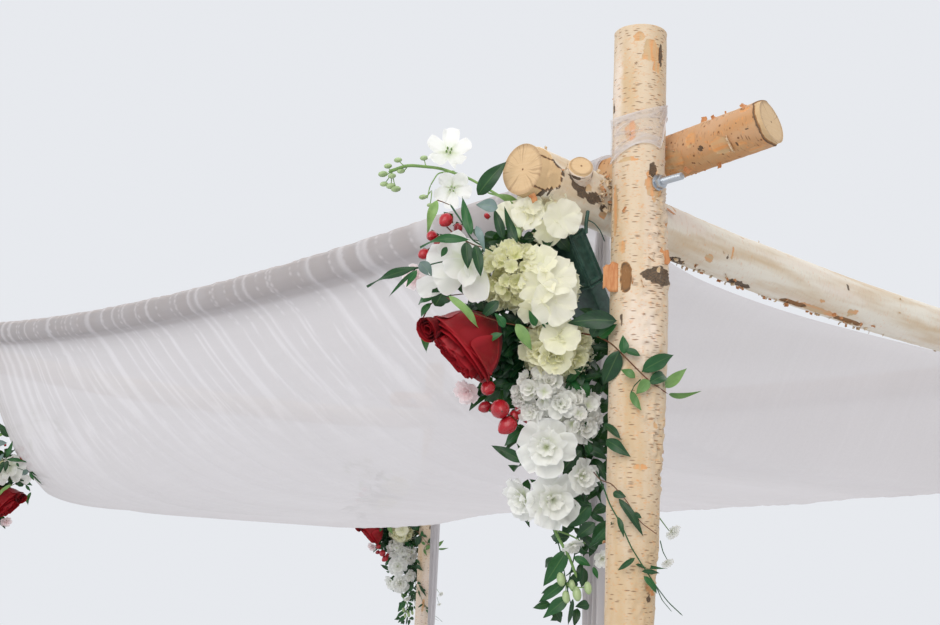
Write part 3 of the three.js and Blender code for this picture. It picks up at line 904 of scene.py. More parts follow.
# Loose bark placed one by one: degrees, place, width and length in mm, turn, lift and curl in degrees
POST_SCRAPS = [
    (-89, 2078, 43, 21, 180, 42, 10),
    (-14, 2098, 20, 6, 60, 30, 60),
    (2, 2106, 26, 19, 8, 40, -30),
    (-30, 2070, 12, 5, 200, 20, 60),
    (-52, 2072, 10, 4, 170, 30, 80),
    (-72, 2168, 10, 5, 150, 30, 70),
    (-18, 2214, 8, 4, 240, 45, 70),
    (-8, 2200, 9, 4, 300, 40, 60),
    (-2, 1676, 8, 5, 20, 40, 60),
    (-14, 1682, 7, 4, 90, 30, 50),
]
SHORT_SCRAPS = [
    (34, 92, 9, 26, 200, 18, -10),
    (6, 70, 14, 10, 150, 35, 120),
    (64, 80, 6, 18, 60, 50, 30),
    (44, 84, 5, 10, 40, 35, 60),
    (-70, -136, 10, 12, 250, 30, 60),
    (20, -22, 14, 6, 80, 50, 150),
    (2, -16, 12, 5, 95, 50, 160),
    (-8, -30, 10, 5, 60, 40, 150),
    (-30, -14, 12, 5, 110, 45, 150),
    (36, -12, 12, 5, 70, 45, 150),
    (14, -70, 10, 5, 250, 40, 120),
    (-12, -38, 6, 13, 35, 70, 30),
    (-26, -32, 6, 12, 15, 70, 25),
    (2, -40, 5, 11, 50, 70, 30),
    (16, -34, 6, 9, 120, 60, 60),
    (-34, -22, 6, 10, 60, 60, 80),
    (8, -104, 5, 9, 200, 30, 120),
    (60, -118, 8, 5, 80, 40, 60),
]
LONG_SCRAPS = [
    (-40, 121, 27, 9, -90, 25, 70),
    (78, 62, 9, 10, 20, 50, 40),
    (86, 96, 3, 8, 30, 60, 30),
    (52, 92, 8, 6, 90, 30, 90),
    (-88, 84, 7, 8, 170, 50, 60),
    (-70, 40, 14, 8, 100, 20, 60),
    (48, 146, 12, 8, 100, 22, 60),
]


def scatter_scraps(gather, log, count, degrees, places, size, seed):
    """Small loose bits of bark, strewn over a stretch of a log."""
    chance = np.random.default_rng(seed)
    for i in range(count):
        angle = chance.uniform(*degrees)
        place = chance.uniform(*places)
        width = chance.uniform(0.5, 1.3) * size
        length = chance.uniform(0.5, 1.2) * size
        turn, lift, curl = chance.uniform(0, 360), chance.uniform(10, 60), chance.uniform(20, 130)
        rule = scrap(log, angle, place, width, length, turn, lift, curl, i + seed)
        gather.strip(3, 4, rule, chance.uniform())


def loose_bark(log, slot, by_hand, *strewn):
    """The curled bark on a log: scraps placed one by one, and small ones strewn over stretches of it."""
    scraps = Gather()
    for i, values in enumerate(by_hand):
        scraps.strip(8, 10, scrap(log, *values, seed=i), 0.5)
    for values in strewn:
        scatter_scraps(scraps, log, *values)
    piece = scraps.piece("loose_bark_" + log.name, "scrap", "torn")
    modify(piece, "SOLIDIFY", thickness=SCRAP_THICKNESS, offset=0, material_offset=1)
    finish_piece(piece)


class MESH_OT_canopy_posts(bpy.types.Operator):
    """Model the four upright logs"""

    bl_idname = "mesh.canopy_posts"
    bl_label = "Posts"

    def execute(self, context):
        for seed, corner in enumerate(CORNERS):
            log = post_log(corner, seed)
            head = log.length
            if corner == "front_right":
                columns, marks, by_hand = 108, POST_MARKS, POST_SCRAPS
                stops = [(0, 20), (20 * MM, 80), (1.5, 290), (head - 20 * MM, 16), (head, 0)]
            else:
                columns, by_hand = 60, ()
                marks = [(kind, (s[0] + 90 * seed, s[1] + 40 * seed, *s[2:])) for kind, s in FAR_MARKS]
                stops = [(0, 8), (20 * MM, 150), (head - 20 * MM, 10), (head, 0)]
            piece = log_surface(log, stops, columns, marks, 0.0, 0.05)
            dress(piece, "bark", "wood")
            finish_piece(piece, [log.name], LOG_ANGLE)
            loose_bark(log, "birch_bark", by_hand, (26, ALL_ROUND, (200, 2400), 5, 40 + seed))
        return {"FINISHED"}


class MESH_OT_canopy_rails(bpy.types.Operator):
    """Model the four crossed rails"""

    bl_idname = "mesh.canopy_rails"
    bl_label = "Rails"

    def execute(self, context):
        for seed, side in enumerate(("right", "left"), 4):
            log = short_log(side, seed)
            log.cuts = [(False, 7.5 * MM, 4.5 * MM, 0)]
            end = log.length
            strewn = [(30, ALL_ROUND, (-130, 1500), 4, 62 + seed)]
            if side == "right":
                columns, marks, by_hand = 108, SHORT_MARKS, SHORT_SCRAPS
                stops = [(0, 44), (0.9, 110), (1.55, 140), (end - 30 * MM, 30), (end, 0)]
                strewn = [(70, (-120, -70), (20, 640), 6, 60), (30, (-30, 50), (-36, -8), 7, 61)] + strewn
            else:
                columns, marks, by_hand = 60, SHORT_MARKS[16:], ()
                stops = [(0, 110), (end - 30 * MM, 12), (end, 0)]
            piece = log_surface(log, stops, columns, marks, 24 * MM, 0.0)
            dress(piece, "pale_bark", "wood")
            branch = branch_stub(log, side)
            dress(branch, "bark", "wood")
            finish_piece(piece, [log.name], LOG_ANGLE)
            finish_piece(branch, (), LOG_ANGLE)
            loose_bark(log, "pale_bark", by_hand, *strewn)

        for seed, side in enumerate(("front", "back"), 6):
            log = long_log(side, seed)
            log.cuts = [(True, 4 * MM, -10 * MM, -50)]
            end = log.length
            if side == "front":
                columns, marks, by_hand = 96, LONG_MARKS, LONG_SCRAPS
                stops = [(0, 26), (20 * MM, 110), (0.29, 120), (end, 0)]
            else:
                columns, marks, by_hand = 48, LONG_MARKS[6:8], ()
                stops = [(0, 8), (20 * MM, 120), (end, 0)]
            piece = log_surface(log, stops, columns, marks, 6 * MM, 0.33)
            dress(piece, "flaky_bark", "wood")
            finish_piece(piece, [log.name], LOG_ANGLE)
            right_end = (40, ALL_ROUND, (-10, 148), 2.6, 70 + seed)
            left_end = (26, ALL_ROUND, (-3160, -3010), 3.4, 74 + seed)
            loose_bark(log, "birch_bark", by_hand, right_end, left_end)
        return {"FINISHED"}


def branch_stub(log, side):
    """The sawn-off branch on a short rail's stub."""
    sign = 1 if side == "right" else -1
    base_along = log.length - BRANCH_END if side == "right" else BRANCH_END
    root = log.spot(np.array(0.0), np.array(base_along), np.array(0.0))
    run = np.array(BRANCH_RUN) * (sign, sign, 1)
    aside = np.cross(run, (0, 0, 1.0))
    taper = 1.5 * MM

    def radius(along):
        return BRANCH_RADIUS + taper - taper * smooth(along, BRANCH_LENGTH - 12 * MM, BRANCH_LENGTH)

    branch = Log("branch_" + side, root, run, aside / np.linalg.norm(aside), BRANCH_LENGTH, radius, seed=21)
    stops = [(0, 6), (30 * MM, 24), (BRANCH_LENGTH, 0)]
    scars = ((-10, 50), (70, 51), (170, 48), (215, 51), (270, 47))
    marks = [("scar", (turn, place, 8, 3)) for turn, place in scars]
    return log_surface(branch, stops, 60, marks, 2.0 * MM, 0.2)


class MESH_OT_canopy_bolts(bpy.types.Operator):
    """Model one threaded rod and one nut with its washer, and copy them to the eight bolts"""

    bl_idname = "mesh.canopy_bolts"
    bl_label = "Bolts"

    def execute(self, context):
        rod, nut = thread_model(context.scene.canopy_sizes.thread_pitch), nut_model()
        for corner in CORNERS:
            for axis, kind in enumerate(("short", "long")):
                node = f"bolt_{kind}_rail_{corner}"
                low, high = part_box(node)
                middle = (low + high) / 2
                if kind == "short":
                    outward = 1 if corner.endswith("right") else -1
                    ends = ((outward, BOLT_END), (-outward, BOLT_STUB))
                else:
                    ends = ((-1 if corner.startswith("back") else 1, BOLT_STUB),)
                parts = []
                for sign, past_nut in ends:
                    tip = high[axis] if sign > 0 else low[axis]
                    parts.append(placed(rod, axis, middle, tip - sign * ROD_MODEL_LENGTH, sign))
                    parts.append(placed(nut, axis, middle, tip - sign * (past_nut + (WASHER + NUT)), sign))
                inner = placed(rod, axis, middle, low[axis] + 10 * MM, 1)
                inner.scale = (0.9, 0.9, (high[axis] - low[axis] - 20 * MM) / ROD_MODEL_LENGTH)
                choose(*parts, inner)
                bpy.ops.object.join()
                bolt = bpy.context.object
                bpy.ops.object.transform_apply(location=True, rotation=True, scale=True)
                bolt.name = bolt.data.name = "threaded_" + node
                dress(bolt, "zinc")
                finish_piece(bolt, [node], 35)
        for model in (rod, nut):
            bpy.data.objects.remove(model)
        return {"FINISHED"}


def thread_model(pitch):
    """A length of threaded rod along +Z from the origin, with a chamfered tip."""
    depth, chamfer = 0.55 * MM, 0.8 * MM

    def rule(u, v):
        along = v * ROD_MODEL_LENGTH
        phase = np.mod(along / pitch - u, 1)
        cut = depth * (1 - abs(2 * phase - 1))
        tip = smooth(along, ROD_MODEL_LENGTH - 1.2 * MM, ROD_MODEL_LENGTH) * chamfer
        r = (ROD_RADIUS - cut - tip) * ((v > 0) & (v < 1))
        along = np.where(v >= 1, ROD_MODEL_LENGTH - 0.25 * MM, along)
        return np.stack([r * np.cos(u * TURN), r * np.sin(u * TURN), along], 1)

    rod = grid("rod_model", 14, 144, rule)
    weld(rod)
    return rod


def nut_model():
    """A hexagon nut on a washer, along +Z from the origin."""
    made = []
    nut = (6, 9.6 * MM, NUT, WASHER + NUT / 2, 0.7 * MM)
    washer = (40, 11 * MM, WASHER, WASHER / 2, 0.3 * MM)
    for sides, radius, depth, height, bevel in (nut, washer):
        deselect()
        middle = (0, 0, height)
        bpy.ops.mesh.primitive_cylinder_add(vertices=sides, radius=radius, depth=depth, location=middle)
        made.append(bpy.context.object)
        edit(made[-1], lambda: bpy.ops.mesh.bevel(offset=bevel, segments=2))
    choose(*made)
    bpy.ops.object.join()
    bpy.ops.object.transform_apply(location=True, rotation=True, scale=True)
    return made[0]


def placed(model, axis, middle, at, sign):
    """A copy of a model with its +Z to a side of an axis, at a place along that axis."""
    made = model.copy()
    made.data = model.data.copy()
    bpy.context.scene.collection.objects.link(made)
    direction = Vector((0, 0, 0))
    direction[axis] = sign
    made.rotation_mode = "QUATERNION"
    made.rotation_quaternion = Vector((0, 0, 1)).rotation_difference(direction)
    made.location = middle
    made.location[axis] = at
    return made


# Cloth


class Drape:
    """The one cloth that is wound round both long rails and slung between them."""

    TURNS = 1.3
    INNER = 32.4 * MM  # rail's middle to the innermost turn
    OUTER = 36.6 * MM  # rail's middle to the turn that the sheet leaves
    LEAVE = math.radians(30)  # from under the rail to where the sheet leaves it
    BESIDE, BELOW = 15 * MM, 43.7 * MM  # from the rail's middle to where the slung part begins
    JOIN_PULL = 40 * MM  # how straight the cloth leaves the rail
    JOIN_LENGTH = 46 * MM  # of cloth between the wound part and the slung one
    MEAN_RADIUS = 35 * MM  # of the wound part
    SLACK = 1.3  # length of slung cloth for a length of the span, as the folds have it
    FAN_DEPTH = 7 * MM
    WIND_ROWS = 48
    JOIN_ROWS = 6
    SHEET_ROWS = 96
    COLUMNS = 340

    def __init__(self, fold):
        sheet_low, sheet_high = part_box("canopy_sheet")
        wind_low, wind_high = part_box("wrap_front")
        self.fold = fold
        self.sheet_x = (sheet_low.x, sheet_high.x)
        self.wind_x = (wind_low.x + 2 * MM, wind_high.x - 2 * MM)
        self.rail = long_log("front", 6)
        self.half_span = -(wind_low.y + wind_high.y) / 2
        self.rows = 2 * (self.WIND_ROWS + self.JOIN_ROWS) + self.SHEET_ROWS

    def rail_height(self, x):
        along = self.rail.start[0] - x
        return self.rail.start[2] + self.rail.lift(along)

    def sag(self, x):
        """How far the middle hangs, from the edge at the right to the loose one at the left."""
        half = (self.sheet_x[1] - self.sheet_x[0]) / 2
        inward = self.sheet_x[1] - x
        right = mix(RIGHT_SAG, MIDDLE_SAG, smooth(inward / half))
        left = mix(MIDDLE_SAG, LEFT_SAG, smooth((inward - half) / half))
        body = np.where(inward < half, right, left)
        return mix(EDGE_SAG, body, smooth(inward, 0, EDGE_BLEND))

    def edge_power(self, x):
        """How suddenly the cloth drops beside the rails: more so towards the loose left edge."""
        return mix(SAG_POWER, LEFT_SAG_POWER, smooth(self.sheet_x[1] - x, 1.7, 2.7))

    def place(self, u, v):
        """The place for a share along the rails and a share from the front rail to the back one."""
        row = v * self.rows
        behind = row > self.rows / 2
        step = np.where(behind, self.rows - row, row)  # rows from the nearer rail's end of the cloth
        winding = step <= self.WIND_ROWS
        joining = (step > self.WIND_ROWS) & (step <= self.WIND_ROWS + self.JOIN_ROWS)
        wind_share = np.clip(step / self.WIND_ROWS, 0, 1)
        join_share = np.clip((step - self.WIND_ROWS) / self.JOIN_ROWS, 0, 1)
        sheet_share = np.clip((step - self.WIND_ROWS - self.JOIN_ROWS) / (self.SHEET_ROWS / 2), 0, 1)

        u = 1 - (1 - u) ** 1.15  # closer columns towards the right-hand edge
        wind_width = mix(self.wind_x[0], self.wind_x[1], u)
        from_rail = sheet_share * self.half_span
        flare = LEFT_FLARE * smooth(from_rail, 0.05, 0.35)
        sheet_width = mix(self.sheet_x[0] - flare, self.sheet_x[1], u)
        x = mix(wind_width, sheet_width, smooth(join_share * 0.3 + from_rail / 0.25 * 0.7))

        # How far along the cloth from where it leaves the rail, with what is wound below zero, and
        # how far a fold has moved to the side by then
        arc = (wind_share - 1) * self.TURNS * TURN * self.MEAN_RADIUS
        run = arc + join_share * self.JOIN_LENGTH + from_rail * self.SLACK
        drift = 0.55 * arc + 0.16 * (1 - np.exp(-np.maximum(run, 0) / 0.35))
        side_seed = np.where(behind, 40.0, 0.0) * (1 - smooth(from_rail, 0.1, 0.6))
        crease = self.creases(x - drift, run, side_seed)

        # Wound part: the angle falls from outside the rail to under it
        angle = self.LEAVE + (1 - wind_share) * self.TURNS * TURN
        out = mix(self.INNER, self.OUTER, wind_share) + (0.3 + 0.7 * wind_share) * 1.9 * MM * crease
        wound_y = -out * np.sin(angle)
        wound_z = -out * np.cos(angle)

        # Slung part, as seen from the rail it hangs on
        along_span = from_rail + self.BESIDE
        share = np.clip(1 - along_span / self.half_span, 0, 1)
        drop = self.sag(x) * (1 - share ** self.edge_power(x))
        depth = self.fold * (0.25 + 0.75 * smooth(from_rail, 0, 0.15))
        depth = depth * (1 - 0.35 * smooth(from_rail, 0.3, 0.68))
        depth = depth * smooth(self.sheet_x[1] - x, -0.02, 0.06)
        hang_z = -self.BELOW - drop + depth * crease + self.fans(x, from_rail, behind)

        # Between them, a curve that leaves the rail in line with it
        leave = (math.sin(self.LEAVE), math.cos(self.LEAVE))
        first_drop = self.sag(x) * (1 - (1 - self.BESIDE / self.half_span) ** self.edge_power(x))
        end_z = -self.BELOW - first_drop + 0.25 * self.fold * crease
        t = join_share
        h1, h2 = 2 * t**3 - 3 * t**2 + 1, t**3 - 2 * t**2 + t
        h3, h4 = -2 * t**3 + 3 * t**2, t**3 - t**2
        pull = self.JOIN_PULL
        join_y = h2 * pull * leave[1] - h1 * self.OUTER * leave[0] + h3 * self.BESIDE + h4 * 26 * MM
        join_z = h3 * end_z - h1 * self.OUTER * leave[1] - h2 * pull * leave[0] - h4 * 34 * MM
        join_z = join_z + (1 - t) * t * 4 * MM * crease

        # The slung part is drawn in, so that its last row is at the middle of the span
        reach = self.half_span / (self.half_span + self.BESIDE)
        hang_y = along_span * reach + (1 - reach) * self.BESIDE * (1 - sheet_share)
        y = np.where(winding, wound_y, np.where(joining, join_y, hang_y)) - self.half_span
        z = np.where(winding, wound_z, np.where(joining, join_z, hang_z))
        return np.stack([x, np.where(behind, -y, y), z + self.rail_height(x)], 1)

    def length(self):
        """How long the cloth is from one end to the other, in the middle of its width."""
        v = np.linspace(0, 1, self.rows + 1)
        steps = np.diff(self.place(np.full_like(v, 0.5), v), axis=0)
        return float(np.linalg.norm(steps[:, 1:], axis=1).sum())

    def creases(self, across, run, seed):
        """Folds that run from rail to rail, sharp where the cloth is wound and soft in the middle."""
        softness = smooth(run, 0.0, 0.45)
        fine = 1 - abs(noise(across * 30 + seed, run * 2.2, 1)) * 2.2
        medium = 1 - abs(noise(across * 15 + seed, run * 1.3, 2)) * 2
        broad = noise(across * 6, run * 0.7, 3)
        wound = 0.55 * fine + 0.55 * medium
        slung = 0.20 * fine + 0.50 * medium + 0.95 * broad
        sharp = smooth(np.maximum(fine, medium), 0.72, 0.98)
        # Fold ridges lighter and valleys darker: partly the denser doubled cloth on a fold, partly painted
        # highlight and painted shade
        slung_density_and_light = 0.36 + 0.16 * slung + 0.16 * sharp * (1 - softness)
        self.fold_density_and_light = mix(0.36 + 0.64 * sharp, slung_density_and_light, softness)
        return mix(wound, slung, softness)

    def fans(self, x, from_rail, behind):
        """Pulls that spread out from the two corners of the right-hand edge."""
        dx = self.sheet_x[1] + 0.03 - x
        dy = from_rail + 0.02
        spread_angle = np.arctan2(dx, dy)
        distance = np.hypot(dx, dy)
        wave = np.sin(spread_angle * 15 + np.where(behind, 1.0, 0.0)) * smooth(distance, 0.0, 0.15)
        return self.FAN_DEPTH * wave * np.exp(-distance / 0.35) * smooth(dx, 0.02, 0.10)


class MESH_OT_canopy_cloth(bpy.types.Operator):
    """Model the slung cloth, the ties round the posts and the loose ends at the corners"""

    bl_idname = "mesh.canopy_cloth"
    bl_label = "Cloth"

    def execute(self, context):
        drape = Drape(context.scene.canopy_sizes.fold)
        sheet = grid("slung_cloth", drape.COLUMNS, drape.rows, drape.place)
        row = np.arange(len(sheet.data.vertices)) // (drape.COLUMNS + 1)
        wound = np.minimum(row, drape.rows - row) < drape.WIND_ROWS
        # The fold share: ridges lighter and valleys darker, partly denser cloth, partly painted highlight
        # and painted shade
        mark(sheet, "cover", np.where(wound, 0.66 + 0.25 * drape.fold_density_and_light, 0.92))
        mark(sheet, "fold", np.clip(drape.fold_density_and_light, 0, 1))
        dress(sheet, "cloth")
        finish_piece(sheet, ["canopy_sheet", "wrap_front", "wrap_back"])
        flat = (drape.wind_x[1] - drape.wind_x[0], drape.length())
        for corner in CORNERS:
            tail = tail_cloth(corner)
            dress(tail, "cloth")
            finish_piece(tail, ["tail_" + corner])
            tie = tie_cloth(corner)
            dress(tie, "cloth")
            finish_piece(tie, ["tie_" + corner])
        return {"FINISHED"}


def tail_cloth(corner):
    """A loose end of the cloth, gathered in pleats and hanging free."""
    low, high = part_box("tail_" + corner)
    seed = CORNERS.index(corner)
    middle = (low + high) / 2
    wide, deep = (high.x - low.x) / 2, (high.y - low.y) / 2
    pleats = 4.5

    def rule(u, v):
        down = 1 - v
        gather = mix(0.45, 1.0, smooth(down, 0, 0.25)) * (1 - 0.12 * smooth(down, 0.6, 1.0))
        sway = 0.10 * np.sin(down * 5 + seed)
        wander = 0.10 * noise(u * 3, down * 4, seed)
        x = middle.x + wide * ((2 * u - 1) * 0.85 * gather + sway * down + wander)
        fold = np.sin(u * pleats * TURN + 1.4 * noise(down * 3, seed, 5.0))
        y = middle.y + deep * 0.62 * gather * fold + deep * 0.3 * noise(u * 2, down * 5, seed + 3)
        z = high.z - (high.z - low.z) * (down + 0.012 * (fold + 1) * down)
        return np.stack([x, y, z], 1)

    piece = grid("tail_cloth_" + corner, 64, 60, rule)
    mark(piece, "cover", np.full(len(piece.data.vertices), 0.82))
    mark(piece, "fold", np.full(len(piece.data.vertices), 0.6))
    return piece


def tie_cloth(corner):
    """The sheer band round a post, spread on the outer side and gathered over the long rail."""
    low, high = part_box("tie_" + corner)
    post = post_middle(corner)
    seed = CORNERS.index(corner)
    towards = 1 if corner.startswith("front") else -1
    radius = POST_RADIUS_HEAD + 1.2 * MM
    top, slant, bottom, bottom_by_rail = high.z - 15 * MM, 15 * MM, low.z, low.z + 56 * MM

    def rule(u, v):
        angle = u * TURN
        rail_side = np.sin(angle) * towards
        gathered = smooth(rail_side, 0, 0.5)
        upper = top + slant * rail_side
        lower = mix(bottom + 10 * MM * np.cos(angle * 2 + 1), bottom_by_rail, gathered)
        z = mix(lower, upper, v)
        pleat = noise(z * 120 + np.cos(angle) * 1.5, np.sin(angle) * 1.2, seed)
        out = radius + 0.9 * MM * (pleat + 0.8) * (0.5 + 0.5 * gathered) + 1.2 * MM * abs(2 * v - 1) ** 8
        return np.stack([post.x + out * np.cos(angle), post.y + out * np.sin(angle), z], 1)

    columns, rows = 96, 24
    piece = grid("tie_cloth_" + corner, columns, rows, rule)
    share = np.tile(np.arange(columns + 1), rows + 1) / columns
    height = np.repeat(np.arange(rows + 1), columns + 1) / rows
    gathered = smooth(np.sin(share * TURN) * towards, 0, 0.5)
    strands = smooth(1 - abs(noise(share * 3 + height * 2.2, height * 5 - share * 4, seed)) * 3, 0.3, 1)
    cover = 0.20 + 0.45 * abs(2 * height - 1) ** 5 + 0.35 * strands + 0.45 * gathered
    mark(piece, "cover", np.clip(cover, 0, 0.9))
    mark(piece, "fold", np.full(len(cover), 0.95))
    weld(piece)
    return piece


# Flowers

# Places are given as the photograph shows them: pixels of its 940 x 625 frame, and how many mm
# towards the camera from the front right post's axis at the rails
PHOTO_WIDTH, PHOTO_HEIGHT = 940, 625
SENSOR_WIDTH = 36.0
RAIL_HEIGHT = 2.195
SPRAY_CLEARANCE = 44 * MM  # from the post's axis to the leaves that lie over it
SPRAY_LEAST = 30  # mm towards the camera, from which a place may be over the post


class View:
    """Turns places of the photograph into places from the front right post's axis at the floor."""

    def __init__(self, lens):
        self.right, self.up, self.forward = (np.array(d) for d in camera_directions())
        post = post_middle("front_right")
        self.post = np.array((post.x, post.y, 0.0))
        self.eye = np.array(camera_place()) - self.post
        self.focal = lens / SENSOR_WIDTH * PHOTO_WIDTH
        self.depth = (np.array((0, 0, RAIL_HEIGHT)) - self.eye) @ self.forward

    def at(self, px, py, toward=0.0):
        depth = self.depth - toward * MM
        across = (px - PHOTO_WIDTH / 2) / self.focal * depth
        down = (py - PHOTO_HEIGHT / 2) / self.focal * depth
        return self.eye + depth * self.forward + across * self.right - down * self.up

    def before_post(self, px, py, toward):
        """The same, but in front of the post where a spray lies over it."""
        place = self.at(px, py, toward)
        ray = place - self.eye
        a = ray[0] ** 2 + ray[1] ** 2
        b = self.eye[0] * ray[0] + self.eye[1] * ray[1]
        c = self.eye[0] ** 2 + self.eye[1] ** 2 - SPRAY_CLEARANCE**2
        inside = b * b - a * c
        if toward < SPRAY_LEAST or inside <= 0:
            return place
        return self.eye + ray * min(1.0, (-b - math.sqrt(inside)) / a)

    def way(self, right, up, toward):
        """A direction given as right, up and towards the camera."""
        found = right * self.right + up * self.up - toward * self.forward
        return found / np.linalg.norm(found)


def turned_to(normal, spin=0.0):
    """A rotation whose third column is the normal, spun round it."""
    normal = np.asarray(normal, float)
    normal = normal / np.linalg.norm(normal)
    helper = np.array((0, 0, 1.0)) if abs(normal[2]) < 0.9 else np.array((1.0, 0, 0))
    first = np.cross(helper, normal)
    first = first / np.linalg.norm(first)
    second = np.cross(normal, first)
    c, s = math.cos(spin), math.sin(spin)
    return np.stack([first * c + second * s, second * c - first * s, normal], 1)


def petal_rule(width, length, cup, ruffle, seed, base=0.16, wave=2.0):
    """A petal that grows along +X from the origin, with its face to +Z."""

    def rule(u, v):
        side = 2 * u - 1
        half = width / 2 * (base + (1 - base) * np.sin(np.clip(v * 0.68, 0, 1) * math.pi) ** 0.85)
        reach = length * (v + 0.10 * v * (1 - side**2) + 0.05 * v * noise(u * 3 + seed, v, seed))
        lift = cup * length * (0.65 * v**2 + 0.35 * side**2 * v)
        curls = np.sin(side * wave * math.pi + seed) * 0.6 + noise(u * 5, v * 2, seed)
        frill = ruffle * length * v**1.6 * curls * (0.35 + 0.65 * abs(side))
        return np.stack([reach, side * half, lift + frill], 1)

    return rule


def floret_model(petals, width, length, cup, ruffle, seed, layers=1, columns=5, rows=5, tilt=0.25):
    """An open floret that faces +Z, of one size, made once for all its copies."""
    made = Gather()
    for layer in range(layers):
        shrink, lean = 1 - 0.26 * layer, tilt + 0.38 * layer
        for i in range(petals):
            angle = (i + 0.5 * layer) / petals * TURN + 0.15 * noise(np.array(i * 1.7), seed * 1.0, 3.0)
            spin = np.array(Matrix.Rotation(float(angle), 3, "Z") @ Matrix.Rotation(-lean, 3, "Y"))
            rule = petal_rule(width * shrink, length * shrink, cup, ruffle, seed + i + 7 * layer)
            made.strip(columns, rows, lambda u, v: rule(u, v) @ spin.T + (0, 0, 0.03 * length * layer))
    return made


def bead_model(columns=10, rows=7, point=0.0):
    """A round bead of one unit's radius, drawn out to a point at +Z."""

    def rule(u, v):
        polar = v * math.pi
        ring = np.sin(polar)
        height = np.cos(polar) * (1 + point * np.clip(np.cos(polar), 0, 1) ** 6)
        return np.stack([ring * np.cos(-u * TURN), ring * np.sin(-u * TURN), height], 1)

    made = Gather()
    made.strip(columns, rows, rule)
    return made


def tube_rule(path, radius, taper=1.0):
    """A round stem along a smooth line through the path's points."""
    path = np.asarray(path, float)
    marks = np.linspace(0, 1, len(path))

    def line(v):
        return np.stack([smooth_line(marks, path[:, k], v) for k in range(3)], 1)

    def rule(u, v):
        middle = line(v)
        ahead = line(np.clip(v + 0.01, 0, 1)) - line(np.clip(v - 0.01, 0, 1))
        ahead /= np.linalg.norm(ahead, axis=1)[:, None] + 1e-12
        helper = np.where(abs(ahead[:, 2:]) < 0.9, (0, 0, 1.0), (1.0, 0, 0))
        first = np.cross(ahead, helper)
        first /= np.linalg.norm(first, axis=1)[:, None]
        second = np.cross(ahead, first)
        size = radius * mix(1, taper, v)[:, None] * np.where((v <= 0) | (v >= 1), 0.05, 1.0)[:, None]
        return middle + size * (first * np.cos(u * TURN)[:, None] + second * np.sin(u * TURN)[:, None])

    return rule


def smooth_line(marks, values, at):
    """A line through the values with rounded corners."""
    fine = np.linspace(0, 1, 121)
    plain = np.interp(fine, marks, values)
    reach = max(3, 60 // len(marks))
    weights = np.hanning(2 * reach + 1)
    before = 2 * plain[0] - plain[reach:0:-1]
    after = 2 * plain[-1] - plain[-2:-reach - 2:-1]
    eased = np.convolve(np.concatenate([before, plain, after]), weights / weights.sum(), "valid")
    return np.interp(at, fine, eased)


def leaf_rule(base, tip, face, width, bend=0.12, fold=0.25, twist=0.0, lobes=0.0):
    """A leaf from its base to its tip, with its upper side turned to a direction."""
    ahead = tip - base
    length = np.linalg.norm(ahead)
    ahead = ahead / length
    face = face - ahead * (face @ ahead)
    face = face / np.linalg.norm(face)
    sideways = np.cross(face, ahead)

    def rule(u, v):
        side = 2 * u - 1
        outline = np.sin(np.clip(v, 0, 1) ** 0.72 * math.pi) ** 0.95
        outline = np.maximum(outline, 0.03 * (v < 0.5)) * (1 + lobes * np.sin(v * 20))
        half = width / 2 * outline
        arch = bend * length * np.sin(v * math.pi) * 0.6 - bend * length * v**2 * 0.4
        turn = twist * v
        across = side * half
        rise = fold * abs(side) * half + 0.03 * length * np.sin(v * 9 + side * 2) * abs(side)
        y = across * np.cos(turn) - rise * np.sin(turn)
        z = arch + across * np.sin(turn) + rise * np.cos(turn)
        place = base + np.multiply.outer(v * length, ahead) + np.multiply.outer(y, sideways)
        return place + np.multiply.outer(z, face)

    return rule


